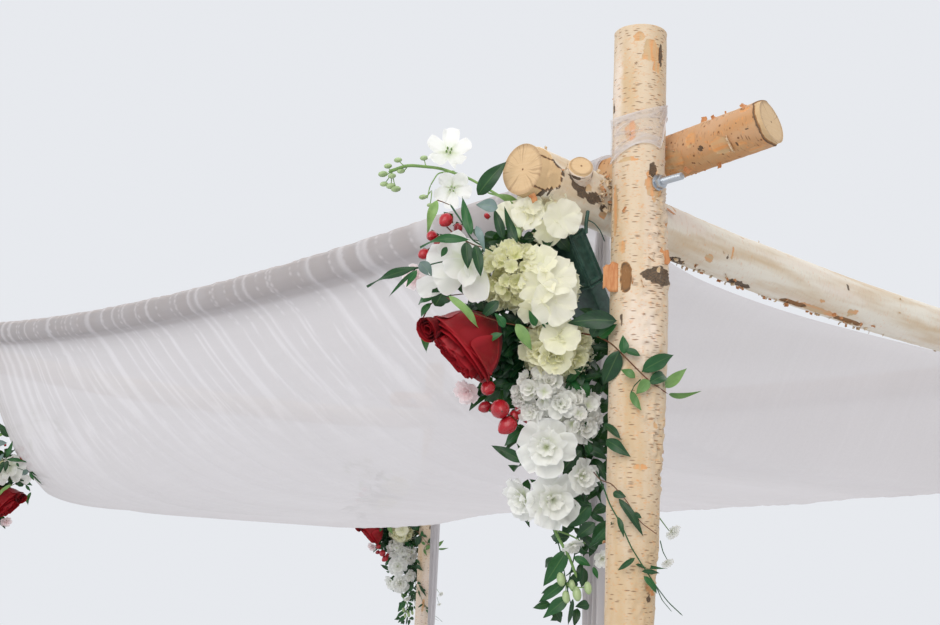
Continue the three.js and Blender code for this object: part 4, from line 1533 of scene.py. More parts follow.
# Leaves: base and tip pixels, mm towards the camera at both, width in mm, bend, and tone (0 dark to
# 1 light green, silvery below 0)
LOBED_LEAF = 19  # the one with a wavy outline
LEAVES = [
    (478, 195, 506, 161, 14, 26, 23, 0.16, 0.08),
    (437, 200, 427, 233, -20, -16, 13, 0.40, 0.85),
    (471, 235, 462, 197, 62, 48, 13, -0.10, 0.36),
    (470, 240, 418, 245, 64, 46, 12, 0.30, 0.30),
    (466, 242, 468, 269, 66, 74, 16, 0.12, 0.06),
    (475, 245, 481, 277, 66, 76, 15, 0.10, 0.10),
    (418, 267, 365, 286, 44, 8, 12, 0.12, 0.14),
    (416, 269, 388, 297, 44, 30, 5, 0.10, 0.20),
    (417, 270, 406, 287, 46, 40, 9, 0.10, 0.42),
    (420, 262, 432, 276, 50, 52, 17, 0.05, -0.35),
    (498, 208, 476, 204, 42, 44, 18, 0.20, -0.50),
    (476, 226, 485, 251, 72, 80, 10, 0.25, -0.70),
    (503, 239, 494, 208, 34, 30, 13, 0.12, 0.06),
    (517, 244, 504, 207, 30, 24, 12, -0.16, 0.12),
    (522, 206, 488, 192, -30, -34, 12, 0.10, 0.75),
    (447, 247, 441, 257, 56, 52, 8, 0.10, 0.25),
    (434, 297, 417, 304, 6, 0, 11, 0.55, 0.45),
    (431, 303, 420, 317, 8, 2, 9, 0.45, 0.42),
    (421, 321, 427, 353, -8, -12, 13, 0.45, 0.52),
    (435, 306, 452, 279, 22, 26, 26, 0.10, 0.10),
    (449, 296, 480, 328, 78, 74, 12, 0.30, 0.78),
    (499, 301, 480, 319, 44, 40, 15, 0.15, 0.14),
    (505, 327, 495, 313, 62, 64, 12, 0.10, 0.45),
    (488, 340, 503, 333, 60, 64, 11, 0.10, 0.48),
    (516, 324, 532, 350, 50, 52, 16, 0.14, 0.72),
    (617, 321, 567, 322, 58, 56, 25, 0.16, 0.05),
    (536, 326, 529, 310, 56, 60, 11, 0.10, 0.40),
    (546, 328, 541, 309, 54, 58, 10, 0.10, 0.36),
    (599, 337, 617, 324, 56, 58, 16, 0.10, 0.30),
    (592, 337, 601, 319, 52, 54, 16, 0.10, 0.18),
    (624, 354, 623, 335, 54, 58, 13, 0.10, 0.34),
    (626, 350, 641, 356, 54, 58, 11, 0.10, 0.22),
    (642, 371, 674, 354, 56, 62, 20, 0.10, 0.26),
    (649, 383, 668, 375, 58, 60, 17, 0.30, 0.20),
    (665, 387, 686, 369, 58, 54, 15, -0.16, 0.70),
    (669, 394, 699, 393, 58, 50, 8, -0.55, 0.66),
    (649, 380, 636, 394, 58, 62, 15, 0.18, 0.66),
    (631, 391, 641, 411, 58, 60, 10, -0.25, 0.62),
    (635, 378, 621, 369, 56, 58, 11, 0.30, 0.60),
    (619, 351, 603, 386, 52, 56, 24, 0.10, 0.10),
    (606, 440, 630, 456, 42, 48, 16, 0.12, 0.14),
    (604, 424, 621, 439, 42, 46, 12, 0.12, 0.12),
    (613, 493, 626, 497, 44, 48, 11, 0.10, 0.14),
    (619, 499, 644, 536, 46, 52, 11, 0.22, 0.08),
    (633, 514, 642, 518, 48, 52, 8, 0.10, 0.12),
    (618, 517, 624, 537, 48, 50, 7, 0.20, 0.20),
    (635, 558, 617, 571, 52, 54, 7, 0.45, 0.18),
    (636, 564, 665, 569, 52, 54, 5, -0.25, 0.24),
    (642, 571, 660, 573, 52, 54, 6, 0.10, 0.16),
    (644, 576, 658, 594, 52, 56, 9, 0.20, 0.40),
    (588, 549, 617, 518, 24, 32, 10, -0.25, 0.22),
    (611, 521, 591, 548, 24, 20, 24, 0.10, 0.12),
    (524, 462, 491, 445, 14, 6, 15, 0.10, 0.10),
    (521, 431, 504, 446, 8, 4, 14, 0.30, 0.30),
    (567, 382, 584, 365, 30, 34, 12, 0.10, 0.26),
    (571, 377, 592, 399, 24, 28, 20, 0.30, 0.46),
    (591, 456, 583, 436, 26, 28, 11, 0.10, 0.20),
    (591, 503, 566, 529, 18, 14, 24, 0.10, 0.20),
    (595, 523, 576, 538, 20, 16, 18, 0.10, 0.10),
    (567, 550, 543, 587, 14, 10, 22, 0.12, 0.26),
    (567, 580, 538, 603, 12, 6, 14, 0.12, 0.24),
    (568, 597, 543, 618, 12, 8, 18, 0.12, 0.24),
    (573, 599, 568, 626, 14, 12, 7, 0.10, -0.20),
    (574, 557, 591, 566, 16, 20, 11, 0.15, 0.42),
    (593, 567, 598, 579, 26, 28, 7, 0.10, 0.35),
]
# Stems: pixels and mm towards the camera along them, radius in mm, and tone
STEMS = [
    ([(388, 172, -96), (408, 165, -94), (440, 168, -90), (469, 178, -80), (500, 196, -56), (548, 226, -36)],
     2.6, 0.80),
    ([(455, 171, -88), (438, 173, -86), (430, 186, -84), (427, 199, -82)], 1.2, 0.80),
    ([(437, 200, -20), (443, 202, -16), (450, 205, -10)], 0.9, -0.9),
    ([(450, 204, -10), (462, 222, 20), (472, 240, 56), (490, 250, 40), (520, 262, 10)], 1.4, 0.25),
    ([(446, 226, 10), (456, 236, 26), (476, 246, 40), (520, 256, 0)], 1.2, -0.9),
    ([(424, 252, 14), (434, 246, 16), (452, 248, 24), (490, 256, 10)], 1.2, -0.9),
    ([(388, 279, 30), (417, 268, 44), (440, 262, 46), (470, 258, 30)], 1.3, 0.20),
    ([(446, 297, 40), (470, 312, 60), (500, 322, 58), (540, 330, 20)], 1.1, -0.9),
    ([(422, 320, -6), (430, 304, 4), (445, 296, 16), (480, 292, 0)], 1.1, -0.9),
    ([(560, 330, 10), (598, 336, 50), (612, 344, 56), (630, 362, 58), (648, 380, 60), (668, 394, 58)],
     1.3, -0.9),
    ([(641, 379, 58), (634, 386, 60), (631, 393, 60)], 0.9, 0.2),
    ([(575, 440, 0), (592, 470, 16), (600, 480, 34), (612, 484, 44), (626, 500, 48), (640, 522, 50),
      (658, 535, 50)], 0.9, -0.9),
    ([(596, 470, 20), (604, 489, 40), (610, 505, 46), (621, 524, 50), (631, 547, 52), (641, 563, 54),
      (656, 586, 56), (668, 602, 56), (683, 616, 54)], 1.1, 0.30),
    ([(656, 586, 56), (662, 600, 56), (672, 612, 55)], 0.7, 0.30),
    ([(658, 516, 10), (664, 524, 14), (670, 532, 16)], 0.9, 0.70),
    ([(660, 540, 10), (663, 552, 14), (668, 561, 16)], 0.8, 0.40),
    ([(550, 380, 6), (552, 440, 16), (548, 500, 18), (556, 534, 18), (569, 556, 18), (577, 578, 18)],
     3.0, 0.72),
    ([(556, 530, 18), (572, 536, 20), (586, 544, 22)], 1.4, 0.72),
    ([(548, 515, 12), (560, 548, 14), (566, 582, 12), (572, 610, 12)], 1.0, 0.30),
    ([(590, 470, 10), (584, 500, 14), (578, 540, 14), (570, 575, 12), (566, 600, 12)], 1.2, 0.30),
]
# Strap and binding of the flower cage: the same, without a tone
CAGE_TIES = [
    ([(586, 234, 8), (586, 224, 8), (588, 210, 8)], 2.6),
    ([(588, 220, 8), (594, 223, 8), (600, 230, 4), (605, 242, -6)], 0.8),
]
# Berries and buds: pixel, mm towards the camera, radius in mm
BERRIES = [
    (446, 220, 20, 10.5), (432, 236, 14, 8.5), (441, 242, 26, 10.5), (424, 254, 16, 8.5),
    (487, 216, 4, 4.5), (488, 388, 42, 11.0), (500, 409, 40, 15.0), (508, 425, 38, 13.5),
    (485, 407, 26, 9.0), (521, 408, 24, 9.5), (528, 419, 20, 7.0), (514, 416, 24, 8.5),
    (458, 228, 2, 7.5), (545, 466, 0, 5.0),
]
BUDS = [
    (383, 174, -98, 6), (384, 184, -96, 5), (391, 186, -98, 6), (396, 189, -96, 6), (388, 166, -96, 5),
    (398, 160, -94, 5), (401, 171, -96, 5), (423, 197, -82, 5), (424, 158, -92, 5), (392, 176, -92, 5),
    (561, 579, 18, 8), (566, 597, 18, 7), (577, 594, 20, 8), (588, 588, 22, 7), (572, 585, 14, 6),
    (518, 232, 20, 7), (430, 205, -84, 4),
]
BUD_ROOTS = [  # a bud's stalk starts at the nearest of these
    (392, 171, -96), (408, 166, -94), (427, 167, -92), (432, 190, -86), (573, 570, 18), (566, 582, 12),
    (520, 240, 16),
]
# Florets: pixel, mm towards the camera, radius in mm, the way they face (right, up, towards), shade
STOCK_FLORETS = [
    (547, 447, 40, 39, (-0.15, 0.05, 1.0), 0.0),
    (552, 499, 26, 38, (0.20, -0.10, 0.95), 0.0),
    (524, 498, 12, 30, (-0.75, -0.30, 0.6), 0.0),
    (547, 381, 40, 20, (0.0, 0.25, 0.9), 0.0),
    (521, 396, 30, 15, (-0.8, 0.1, 0.6), 0.0),
    (536, 389, 36, 15, (-0.4, 0.3, 0.8), 0.0),
    (532, 411, 36, 19, (-0.5, -0.1, 0.8), 0.0),
    (560, 404, 44, 22, (0.1, 0.2, 0.9), 0.0),
    (577, 399, 34, 17, (0.6, 0.3, 0.7), 0.0),
    (583, 425, 34, 24, (0.55, -0.25, 0.75), 0.0),
    (581, 476, 30, 24, (0.5, 0.0, 0.8), 0.0),
    (565, 424, 28, 20, (0.3, 0.2, 0.9), 0.0),
    (572, 545, 20, 15, (0.3, -0.6, 0.6), 0.0),
    (602, 558, 24, 13, (0.2, -0.3, 0.9), 0.0),
    (672, 531, 16, 12, (0.5, -0.5, 0.7), 0.0),
    (667, 562, 16, 9, (0.3, -0.6, 0.7), 0.0),
    (449, 152, -92, 31, (0.0, 0.35, 0.9), 0.0),
    (452, 188, -86, 27, (0.1, -0.3, 0.9), 0.0),
    (467, 391, 6, 18, (-0.3, -0.4, 0.8), 1.0),
    (416, 277, -6, 19, (-0.5, -0.2, 0.7), 1.0),
]
BIG_FLORETS = [
    (552, 302, 62, 29, (0.25, -0.15, 1.0), 1.0),
    (555, 277, 58, 26, (0.3, 0.35, 0.9), 0.95),
    (538, 286, 60, 24, (-0.3, 0.1, 0.95), 0.8),
    (534, 310, 56, 20, (-0.1, -0.5, 0.85), 0.6),
    (562, 292, 50, 20, (0.55, 0.0, 0.8), 0.9),
    (541, 262, 50, 22, (-0.2, 0.6, 0.8), 0.7),
    (529, 214, 24, 21, (-0.3, 0.1, 0.95), 1.0),
    (561, 218, 32, 25, (0.25, -0.2, 0.95), 0.95),
    (548, 231, 24, 18, (0.0, -0.4, 0.9), 0.7),
    (508, 214, 10, 16, (-0.5, 0.0, 0.85), 0.9),
    (560, 338, 56, 25, (0.0, 0.45, 0.9), 0.7),
    (556, 356, 52, 22, (-0.2, -0.1, 0.95), 0.5),
]
# Round heads: florets, pixel and mm towards the camera, radius in mm, count, sizes in mm, shades,
# seed, and the way they face
HYDRANGEA_HEADS = [
    (("crisp",), (516, 276, 14), 44, 64, (10, 16), (0.0, 0.34), 1, (-0.4, 0.2, 1)),
    (("crisp",), (500, 277, 2), 26, 26, (11, 16), (0.0, 0.3), 6, (-0.4, 0.2, 1)),
    (("full", "crisp", "smooth"), (543, 288, 12), 36, 40, (14, 21), (0.4, 0.9), 2, (0.0, 0.0, 1)),
    (("full", "crisp"), (556, 349, 14), 36, 40, (14, 20), (0.12, 0.6), 3, (-0.1, 0.1, 1)),
    (("full", "crisp"), (544, 215, -8), 34, 18, (14, 19), (0.55, 1.0), 4, (0.0, -0.1, 1)),
]
STOCK_HEADS = [
    (("crisp", "full"), (541, 392, 22), 32, 30, (9, 14), (0.0, 0.1), 41, (-0.1, 0.1, 1)),
    (("crisp", "full"), (573, 412, 18), 30, 26, (9, 14), (0.0, 0.1), 43, (-0.1, 0.1, 1)),
]
# Rings of rose petals from the outermost: share of the radius, petals, share of the height
ROSE_RINGS = [
    (1.0, 3, 0.90), (0.97, 3, 0.96), (0.88, 5, 1.0), (0.76, 7, 1.04), (0.62, 8, 1.07), (0.48, 8, 1.07),
    (0.34, 6, 1.04),
]
ROLLED_RINGS = [(1.0, 2, 1.0), (0.86, 3, 0.96), (0.66, 3, 0.92), (0.4, 3, 0.9)]
# Leaves behind the blooms: count, then from and to: pixels across and down, mm towards the camera,
# length and width in mm
FILL_STRETCHES = [
    (90, (574, 618), (312, 470), (-30, 26), (26, 44), (12, 20)),
    (44, (566, 606), (430, 550), (-24, 16), (24, 40), (10, 16)),
    (54, (488, 562), (232, 330), (-50, -20), (26, 40), (14, 22)),
    (110, (486, 560), (312, 400), (-40, 6), (28, 44), (14, 22)),
    (60, (500, 536), (326, 390), (-16, 12), (22, 34), (14, 20)),
    (44, (476, 536), (250, 318), (-34, -8), (20, 30), (14, 20)),
    (26, (506, 556), (236, 250), (-10, 12), (20, 30), (14, 20)),
    (30, (455, 520), (235, 300), (-40, -6), (24, 38), (10, 16)),
    (44, (520, 590), (400, 505), (-34, -4), (26, 40), (11, 17)),
    (14, (545, 590), (540, 612), (-10, 4), (20, 32), (8, 14)),
]
# Petals of the white bloom: base and tip pixels with mm towards the camera, width in mm, cup
WHITE_PETALS = [
    ((466, 262, 24), (447, 240, 26), 42, 0.35),
    ((468, 258, 20), (471, 240, 24), 34, 0.35),
    ((468, 264, 28), (430, 262, 32), 46, 0.30),
    ((464, 268, 30), (440, 287, 36), 36, 0.25),
    ((456, 276, 16), (421, 291, 22), 30, 0.20),
    ((470, 262, 34), (446, 274, 48), 32, 0.40),
    ((473, 252, 34), (474, 279, 50), 26, 0.30),
    ((478, 262, 40), (475, 300, 54), 36, 0.30),
    ((468, 264, 44), (466, 287, 62), 24, 0.35),
]


class Arrangement:
    """The flowers of the front right corner, gathered by finish, from that post's axis at the floor."""

    def __init__(self, view):
        self.view = view
        self.blooms, self.rose, self.stock = Gather(), Gather(), Gather()
        self.leaves, self.berries, self.ties = Gather(), Gather(), Gather()
        self.florets = {
            "smooth": floret_model(4, 1.10, 0.98, 0.34, 0.10, 3, rows=6, tilt=0.42),
            "crisp": floret_model(4, 1.10, 0.95, 0.45, 0.42, 5, tilt=0.5),
            "full": floret_model(5, 0.95, 0.96, 0.38, 0.22, 11, layers=2, columns=4, tilt=0.45),
            "open": floret_model(5, 0.80, 1.0, 0.16, 0.16, 13, columns=6, rows=6, tilt=0.30),
            "stock": floret_model(5, 0.98, 0.95, 0.16, 0.24, 9, layers=3, columns=7, rows=7, tilt=0.16),
            "broad": floret_model(4, 1.32, 0.98, 0.20, 0.16, 21, columns=8, rows=8, tilt=0.14),
        }
        self.bead = bead_model()
        for path, radius in CAGE_TIES:
            points = [view.at(*point) for point in path]
            self.ties.strip(7, 24, tube_rule(points, radius * MM, 1.0))
        self.hydrangeas()
        self.white_bloom()
        self.red_rose()
        self.white_stock()
        self.greenery()
        self.fill_leaves()
        self.red_berries()

    def floret(self, gather, kind, px, py, toward, radius, facing, shade, spin):
        place = self.view.at(px, py, toward)
        gather.copy(self.florets[kind], turned_to(self.view.way(*facing), spin), place, radius * MM, shade)

    def head(self, gather, kinds, centre, radius, count, sizes, shades, seed, facing):
        """Copies of florets packed over the visible side of a round head."""
        models = [self.florets[kind] for kind in kinds]
        chance = np.random.default_rng(seed)
        middle = self.view.at(*centre)
        front = self.view.way(*facing)
        basis = turned_to(front)
        golden = math.pi * (3 - math.sqrt(5))
        squash = 0.85
        for i in range(count):
            height = 1 - 1.35 * (i + 0.5) / count
            around = golden * i
            flat = math.sqrt(max(0.0, 1 - height * height))
            out = basis @ np.array((flat * math.cos(around), flat * math.sin(around), height))
            out = out + chance.normal(0, 0.10, 3)
            out = out / np.linalg.norm(out)
            place = middle + out * radius * MM * (1 - (1 - squash) * abs(out[2])) * chance.uniform(0.86, 1.0)
            size = chance.uniform(*sizes) * MM
            turn = turned_to(out + 0.35 * front, chance.uniform(0, TURN))
            gather.copy(models[i % len(models)], turn, place, size, chance.uniform(*shades))

    def hydrangeas(self):
        for head in HYDRANGEA_HEADS:
            self.head(self.blooms, *head)
        for i, (*where, facing, shade) in enumerate(BIG_FLORETS):
            self.floret(self.blooms, "broad", *where, facing, shade, 0.6 + i)

    def white_bloom(self):
        """Large petals from their bases to their tips, with their hollow sides to the camera."""
        for i, (base, tip, width, cup) in enumerate(WHITE_PETALS):
            start, end = self.view.at(*base), self.view.at(*tip)
            length = np.linalg.norm(end - start)
            ahead = (end - start) / length
            face = self.view.way(0, 0.15, 1)
            face = face - ahead * (face @ ahead)
            face = face / np.linalg.norm(face)
            basis = np.stack([ahead, np.cross(face, ahead), face], 1)
            rule = petal_rule(width * MM, length, cup, 0.15, 3 * i, wave=1.0)
            self.stock.strip(10, 12, lambda u, v: start + rule(u, v) @ basis.T)

    def red_rose(self):
        self.rosette((475, 338, 28), (-0.74, -0.64, 0.20), 49, 80, ROSE_RINGS, 4, 0.0, 0.14, 0.045)
        # The rolled bloom's shade of 0.8 tints it dark red: painted shade
        self.rosette((433, 327, 50), (-0.62, -0.30, 0.60), 16, 30, ROLLED_RINGS, 9, 0.8, 0.10, 0.06)

    def rosette(self, centre, axis, radius, height, rings, seed, shade, roll, frill):
        """A full bloom: rings of cupped petals whose rims roll out, ruffled towards the middle."""
        middle = self.view.at(*centre)
        basis = turned_to(self.view.way(*axis), 0.4)
        for ring, (share, petals, tall) in enumerate(rings):
            for i in range(petals):
                turn = (i + 0.37 * ring) / petals * TURN + 0.3 * ring
                span = TURN / petals * (1.55 if ring < 3 else 1.8)

                def rule(u, v):
                    side = 2 * u - 1
                    opening = 0.35 + 0.65 * np.sin(np.clip(v, 0.02, 1) * math.pi * 0.62)
                    angle = turn + side * span / 2 * opening
                    swell_out = np.sin(np.clip(v * 1.25, 0, 1) * math.pi / 2) ** 0.75
                    curl = roll * smooth(v, 0.72, 1.0) * (1.0 if ring < 3 else 0.3)
                    wave = frill * (0.4 + 0.5 * ring) * smooth(v, 0.5, 1) * np.sin(side * 7 + i * 2 + ring)
                    ripple = 0.05 * noise(u * 3 + i, v * 2, seed + ring)
                    body = swell_out * (1 - 0.10 * v * (ring > 1))
                    out = radius * MM * share * (body + curl + wave + ripple) * (1 + 0.02 * i)
                    rise = tall * (v - 0.55 * curl * smooth(v, 0.8, 1)) - 0.06 * side**2 * v - 0.5
                    local = np.stack([out * np.cos(angle), out * np.sin(angle), height * MM * rise], 1)
                    return middle + local @ basis.T

                self.rose.strip(8, 12, rule, shade)

    def white_stock(self):
        for i, (px, py, toward, radius, facing, pink) in enumerate(STOCK_FLORETS):
            behind = toward < -60
            kind = "open" if behind else "stock"
            self.floret(self.stock, kind, px, py, toward, radius, facing, pink, 0.8 * i)
            if behind:
                self.green_middle(px, py, toward, facing, radius)
        for head in STOCK_HEADS:
            self.head(self.stock, *head)
        for px, py, toward, radius in BUDS:
            facing = self.view.way(0.1 if px > 500 else -0.6, -0.8 if px > 500 else -0.1, 0.3)
            place = self.view.at(px, py, toward)
            self.leaves.copy(self.bead, turned_to(facing), place, radius * MM, 1.0, (0.75, 0.75, 1.25))
            root = self.view.at(*min(BUD_ROOTS, key=lambda spot: math.hypot(spot[0] - px, spot[1] - py)))
            middle = (place + root) / 2 + (0, 0, -3 * MM)
            self.leaves.strip(5, 6, tube_rule([root, middle, place], 0.9 * MM, 0.7), 0.8)

    def green_middle(self, px, py, toward, facing, radius):
        """The four green beads in the middle of an open floret."""
        middle = self.view.at(px, py, toward)
        basis = turned_to(self.view.way(*facing))
        size = radius * 0.075 * MM
        for i in range(4):
            a = i * TURN / 4 + 0.5
            place = middle + basis @ (1.7 * size * math.cos(a), 1.7 * size * math.sin(a), 2.2 * size)
            self.leaves.copy(self.bead, basis, place, size, 0.84, (0.6, 0.6, 1.8))

    def greenery(self):
        face = self.view.way(0.05, 0.35, 1.0)
        for i, (bx, by, tx, ty, near, far, width, bend, tone) in enumerate(LEAVES):
            base, tip = self.view.before_post(bx, by, near), self.view.before_post(tx, ty, far)
            lobes = 0.12 * (i == LOBED_LEAF)
            rule = leaf_rule(base, tip, face, width * MM, bend, 0.22, 0.5 * math.sin(i * 2.4), lobes)
            self.leaves.strip(6, 12, rule, tone)
        for path, radius, tone in STEMS:
            points = [self.view.before_post(*point) for point in path]
            self.leaves.strip(7, 6 * len(points), tube_rule(points, radius * MM, 0.6), tone)

    def fill_leaves(self):
        """Leaves that fill the arrangement behind the blooms and beside the post: real leaves, but their
        near-black tone is painted shade among the blooms.
        """
        chance = np.random.default_rng(17)
        for count, across, down, toward, lengths, widths in FILL_STRETCHES:
            for _ in range(count):
                base = self.view.at(chance.uniform(*across), chance.uniform(*down), chance.uniform(*toward))
                heading = [chance.normal(-0.3, 0.8), chance.normal(-0.6, 0.7), chance.normal(0.25, 0.4)]
                tip = base + self.view.way(*heading) * chance.uniform(*lengths) * MM
                face = self.view.way(chance.normal(0, 0.5), chance.normal(0.3, 0.5), 1.0)
                width, bend = chance.uniform(*widths) * MM, chance.uniform(0.05, 0.3)
                rule = leaf_rule(base, tip, face, width, bend, 0.25, chance.normal(0, 0.5))
                self.leaves.strip(4, 7, rule, chance.uniform(0.0, 0.12))

    def red_berries(self):
        chance = np.random.default_rng(23)
        berry = bead_model(14, 10, 0.22)
        for px, py, toward, radius in BERRIES:
            place = self.view.at(px, py, toward)
            right, up = chance.normal(-0.5, 0.3), chance.normal(-0.4, 0.3)
            facing = self.view.way(right, up, chance.uniform(0.3, 0.8))
            basis = turned_to(facing)
            self.berries.copy(berry, basis, place, radius * MM, chance.uniform(), (0.86, 0.86, 1.0))
            for k in range(4):
                angle = k / 4 * TURN + chance.uniform(0, 0.5)
                out = basis @ np.array((math.cos(angle), math.sin(angle), 0))
                base = place - facing * radius * 0.95 * MM
                tip = base + (out * 0.95 + facing * 0.35) * radius * MM
                self.leaves.strip(3, 5, leaf_rule(base, tip, -facing, radius * 0.8 * MM, -0.2), 0.25)


class MESH_OT_canopy_flowers(bpy.types.Operator):
    """Model one flower arrangement and hang a copy of it at each corner"""

    bl_idname = "mesh.canopy_flowers"
    bl_label = "Flowers"

    def execute(self, context):
        made = Arrangement(View(context.scene.canopy_sizes.lens))
        groups = (
            ("hydrangea", made.blooms, "petals_cream", "cream", "blooms_"),
            ("red_rose", made.rose, "petals_red", "red", "rose_"),
            ("white_stock", made.stock, "petals_white", "white", "stock_"),
            ("leaves_and_stems", made.leaves, "leaves", "leaf", "foliage_"),
            ("red_berries", made.berries, "petals_red", "berry", None),
            ("cage_ties", made.ties, "cage_plastic", "cage", None),
        )
        for corner in CORNERS:
            for name, gather, slot, paint, node in groups:
                piece = gather.hung(corner).piece(f"{name}_{corner}", paint)
                if corner != "front_right" and node:
                    modify(piece, "DECIMATE", ratio=FAR_SHARE)
                finish_piece(piece, [node + corner] if node else ())
            cage = cage_piece(corner)
            finish_piece(cage, ["holder_" + corner], 40)
        return {"FINISHED"}


def cage_piece(corner):
    """The moulded plastic holder round its block of wet foam, leaning out at the top."""
    low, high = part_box("holder_front_right")
    size = high - low
    c, s = math.cos(CAGE_LEAN), math.sin(CAGE_LEAN)
    deep, tall = (size.y * c - size.z * s) / (c * c - s * s), (size.z * c - size.y * s) / (c * c - s * s)
    half = Vector((size.x * 0.8, deep, tall - CAGE_BASKET)) / 2
    deselect()
    bpy.ops.mesh.primitive_cube_add(size=2, scale=half, location=(0, 0, CAGE_BASKET / 2))
    shell = bpy.context.object
    bpy.ops.object.transform_apply(location=True, rotation=False, scale=True)
    dress(shell, "cage", "foam")

    def sink_foam():
        draw(CAGE_RIM, -5 * MM)
        shell.active_material_index = 1
        bpy.ops.object.material_slot_assign()

    on_faces(shell, lambda face: face.normal.z > 0.9, sink_foam)
    shell.active_material_index = 0
    for axis, side in ((0, 1), (0, -1), (1, 1), (1, -1)):
        on_faces(shell, lambda face: face.normal[axis] * side > 0.9 and face.area > deep * half.z,
                 frame_panel)
    on_faces(shell, lambda face: face.normal.z < -0.9 and face.area > half.x * half.y,
             lambda: draw(CAGE_RIM, -CAGE_BASKET))
    modify(shell, "BEVEL", width=0.8 * MM, segments=2)
    lean = np.array(Matrix.Rotation(CAGE_LEAN, 3, "X"))
    post = post_middle("front_right")
    middle = np.array((low + high) / 2)
    points = points_of(shell) @ lean.T + middle + CAGE_SHIFT - np.array((post.x, post.y, 0))
    shell.data.vertices.foreach_set("co", hang_points(points, corner).astype(np.float32).ravel())
    if HANG[corner][0] < 0:
        shell.data.flip_normals()
    shell.data.update()
    shell.name = shell.data.name = "flower_cage_" + corner
    return shell


def draw(rim, height):
    """Insets the chosen faces by a rim and moves what is left up or down."""
    bpy.ops.mesh.inset(thickness=rim, depth=0)
    bpy.ops.mesh.extrude_region_move(TRANSFORM_OT_translate={"value": (0, 0, height)})


def frame_panel():
    """Cuts the cage's frame and the grooves round its panel into the chosen side."""
    for thickness, depth in ((1.6, 0), (0.6, -3.6), (1.8, 0), (0.6, 2.4), (3.6, 0), (0.6, -3.8), (1.4, 0)):
        bpy.ops.mesh.inset(thickness=thickness * MM, depth=depth * MM)


def on_faces(piece, test, step):
    """Runs an edit-mode step on the faces that pass a test."""
    choose(piece)
    piece.data.vertices.foreach_set("select", np.zeros(len(piece.data.vertices), bool))
    piece.data.edges.foreach_set("select", np.zeros(len(piece.data.edges), bool))
    for face in piece.data.polygons:
        face.select = test(face)
    bpy.ops.object.mode_set(mode="EDIT")
    step()
    bpy.ops.object.mode_set(mode="OBJECT")


def hang_points(points, corner):
    """Moves points from the front right post's axis to a corner: mirrored, lowered and turned."""
    hand, drop, turn = HANG[corner]
    x, y, z = points[:, 0], points[:, 1] * hand, points[:, 2] - drop
    c, s = math.cos(turn), math.sin(turn)
    target = post_middle(corner)
    return np.stack([x * c - y * s, x * s + y * c, z], 1) + np.array((target.x, target.y, 0))


def petal_paint(name, base, tip, tint, edge, glow, roughness=0.55, veins=0.35, glow_share=0.25):
    """A petal: coloured from its base to its tip, veined, and tinted by its stored shade."""
    paint = Paint(name, roughness, Specular_IOR_Level=0.25, Sheen_Weight=0.06)
    place = paint.coordinates("UV")
    up = paint.part(place, (0, 1, 0))
    side = paint.part(place, (1, 0, 0))
    patch = paint.noise(paint.coordinates(), 70)
    lines = paint.noise(place, (26, 2.2, 1), 3, 0.6)
    # Darker at the base: on the red petals this is painted shade deep in the bloom
    colour = paint.blend(paint.ramp(up + (patch - 0.5) * 0.5, 0.0, 0.62), base, tip)
    colour = paint.blend(paint.stored("shade"), colour, tint)
    colour = paint.blend(paint.ramp(lines, 0.5, 0.75) * veins, colour, base)
    # The rim blends towards the edge colour: on the red petals a painted highlight
    rim = paint.ramp(abs(side - 0.5), 0.40, 0.5).math("MAXIMUM", paint.ramp(up, 0.9, 1.0))
    paint.set(Base_Color=paint.blend(rim * 0.6, colour, edge))
    paint.bump(lines + patch * 0.4, 0.35, 0.7 * MM)
    return paint.mix_in(glow_share, paint.glow(glow))


def leaf_paint():
    """Waxy leaves: a pale midrib and side veins, from dark to light green by their stored shade."""
    paint = Paint("waxy_leaf", 0.38, Specular_IOR_Level=0.45)
    place = paint.coordinates("UV")
    aside = abs(paint.part(place, (1, 0, 0)) - 0.5)
    up = paint.part(place, (0, 1, 0))
    shade = paint.stored("shade")
    patch = paint.noise(paint.coordinates(), 90)
    rib = paint.ramp(aside, 0.045, 0.012)
    slant = (up * 9 - aside * 6).math("FRACT") - 0.5
    veins = paint.ramp(abs(slant), 0.07, 0.0) * 0.35
    # The dark green is near black; on the fill leaves, shaded 0 to 0.12, it is painted shade among the
    # blooms
    dark, middle, light = (0.003, 0.024, 0.010), (0.010, 0.095, 0.020), (0.25, 0.40, 0.12)
    colour = paint.blend(paint.ramp(shade, 0.02, 0.42), dark, middle)
    colour = paint.blend(paint.ramp(shade, 0.45, 0.85), colour, light)
    colour = paint.blend(paint.ramp(shade, 0.90, 1.0) * 0.55, colour, (0.60, 0.70, 0.42))
    colour = paint.blend(paint.ramp(shade, -0.15, -0.5), colour, (0.20, 0.26, 0.27))
    colour = paint.blend(paint.ramp(shade, -0.75, -0.85), colour, (0.16, 0.035, 0.02))
    colour = paint.blend(paint.ramp(patch, 0.3, 0.75) * 0.3, colour, middle)
    colour = paint.blend((rib + veins) * 0.16, colour, light)
    paint.set(Base_Color=colour, Roughness=0.30 + patch * 0.22)
    paint.bump(patch * 0.5 - rib - veins, 0.4, 0.5 * MM)
    return paint.mix_in(0.12, paint.glow((0.06, 0.22, 0.02, 1)))


def berry_paint():
    """A red berry: darker patches, and a brown spot at its tip."""
    paint = Paint("red_berry", 0.22, Specular_IOR_Level=0.5)
    up = paint.part(paint.coordinates("UV"), (0, 1, 0))
    patch = paint.noise(paint.coordinates(), 160)
    tone = paint.ramp(patch * 0.5 + paint.stored("shade") * 0.5, 0.15, 1.0)
    colour = paint.blend(tone, (0.42, 0.012, 0.02), (0.16, 0.006, 0.012))
    colour = paint.blend(paint.ramp(up, 0.06, 0.0), colour, (0.05, 0.02, 0.01))
    paint.set(Base_Color=colour, Roughness=0.18 + patch * 0.2)
    paint.bump(patch, 0.2, 0.4 * MM)
    return paint.material


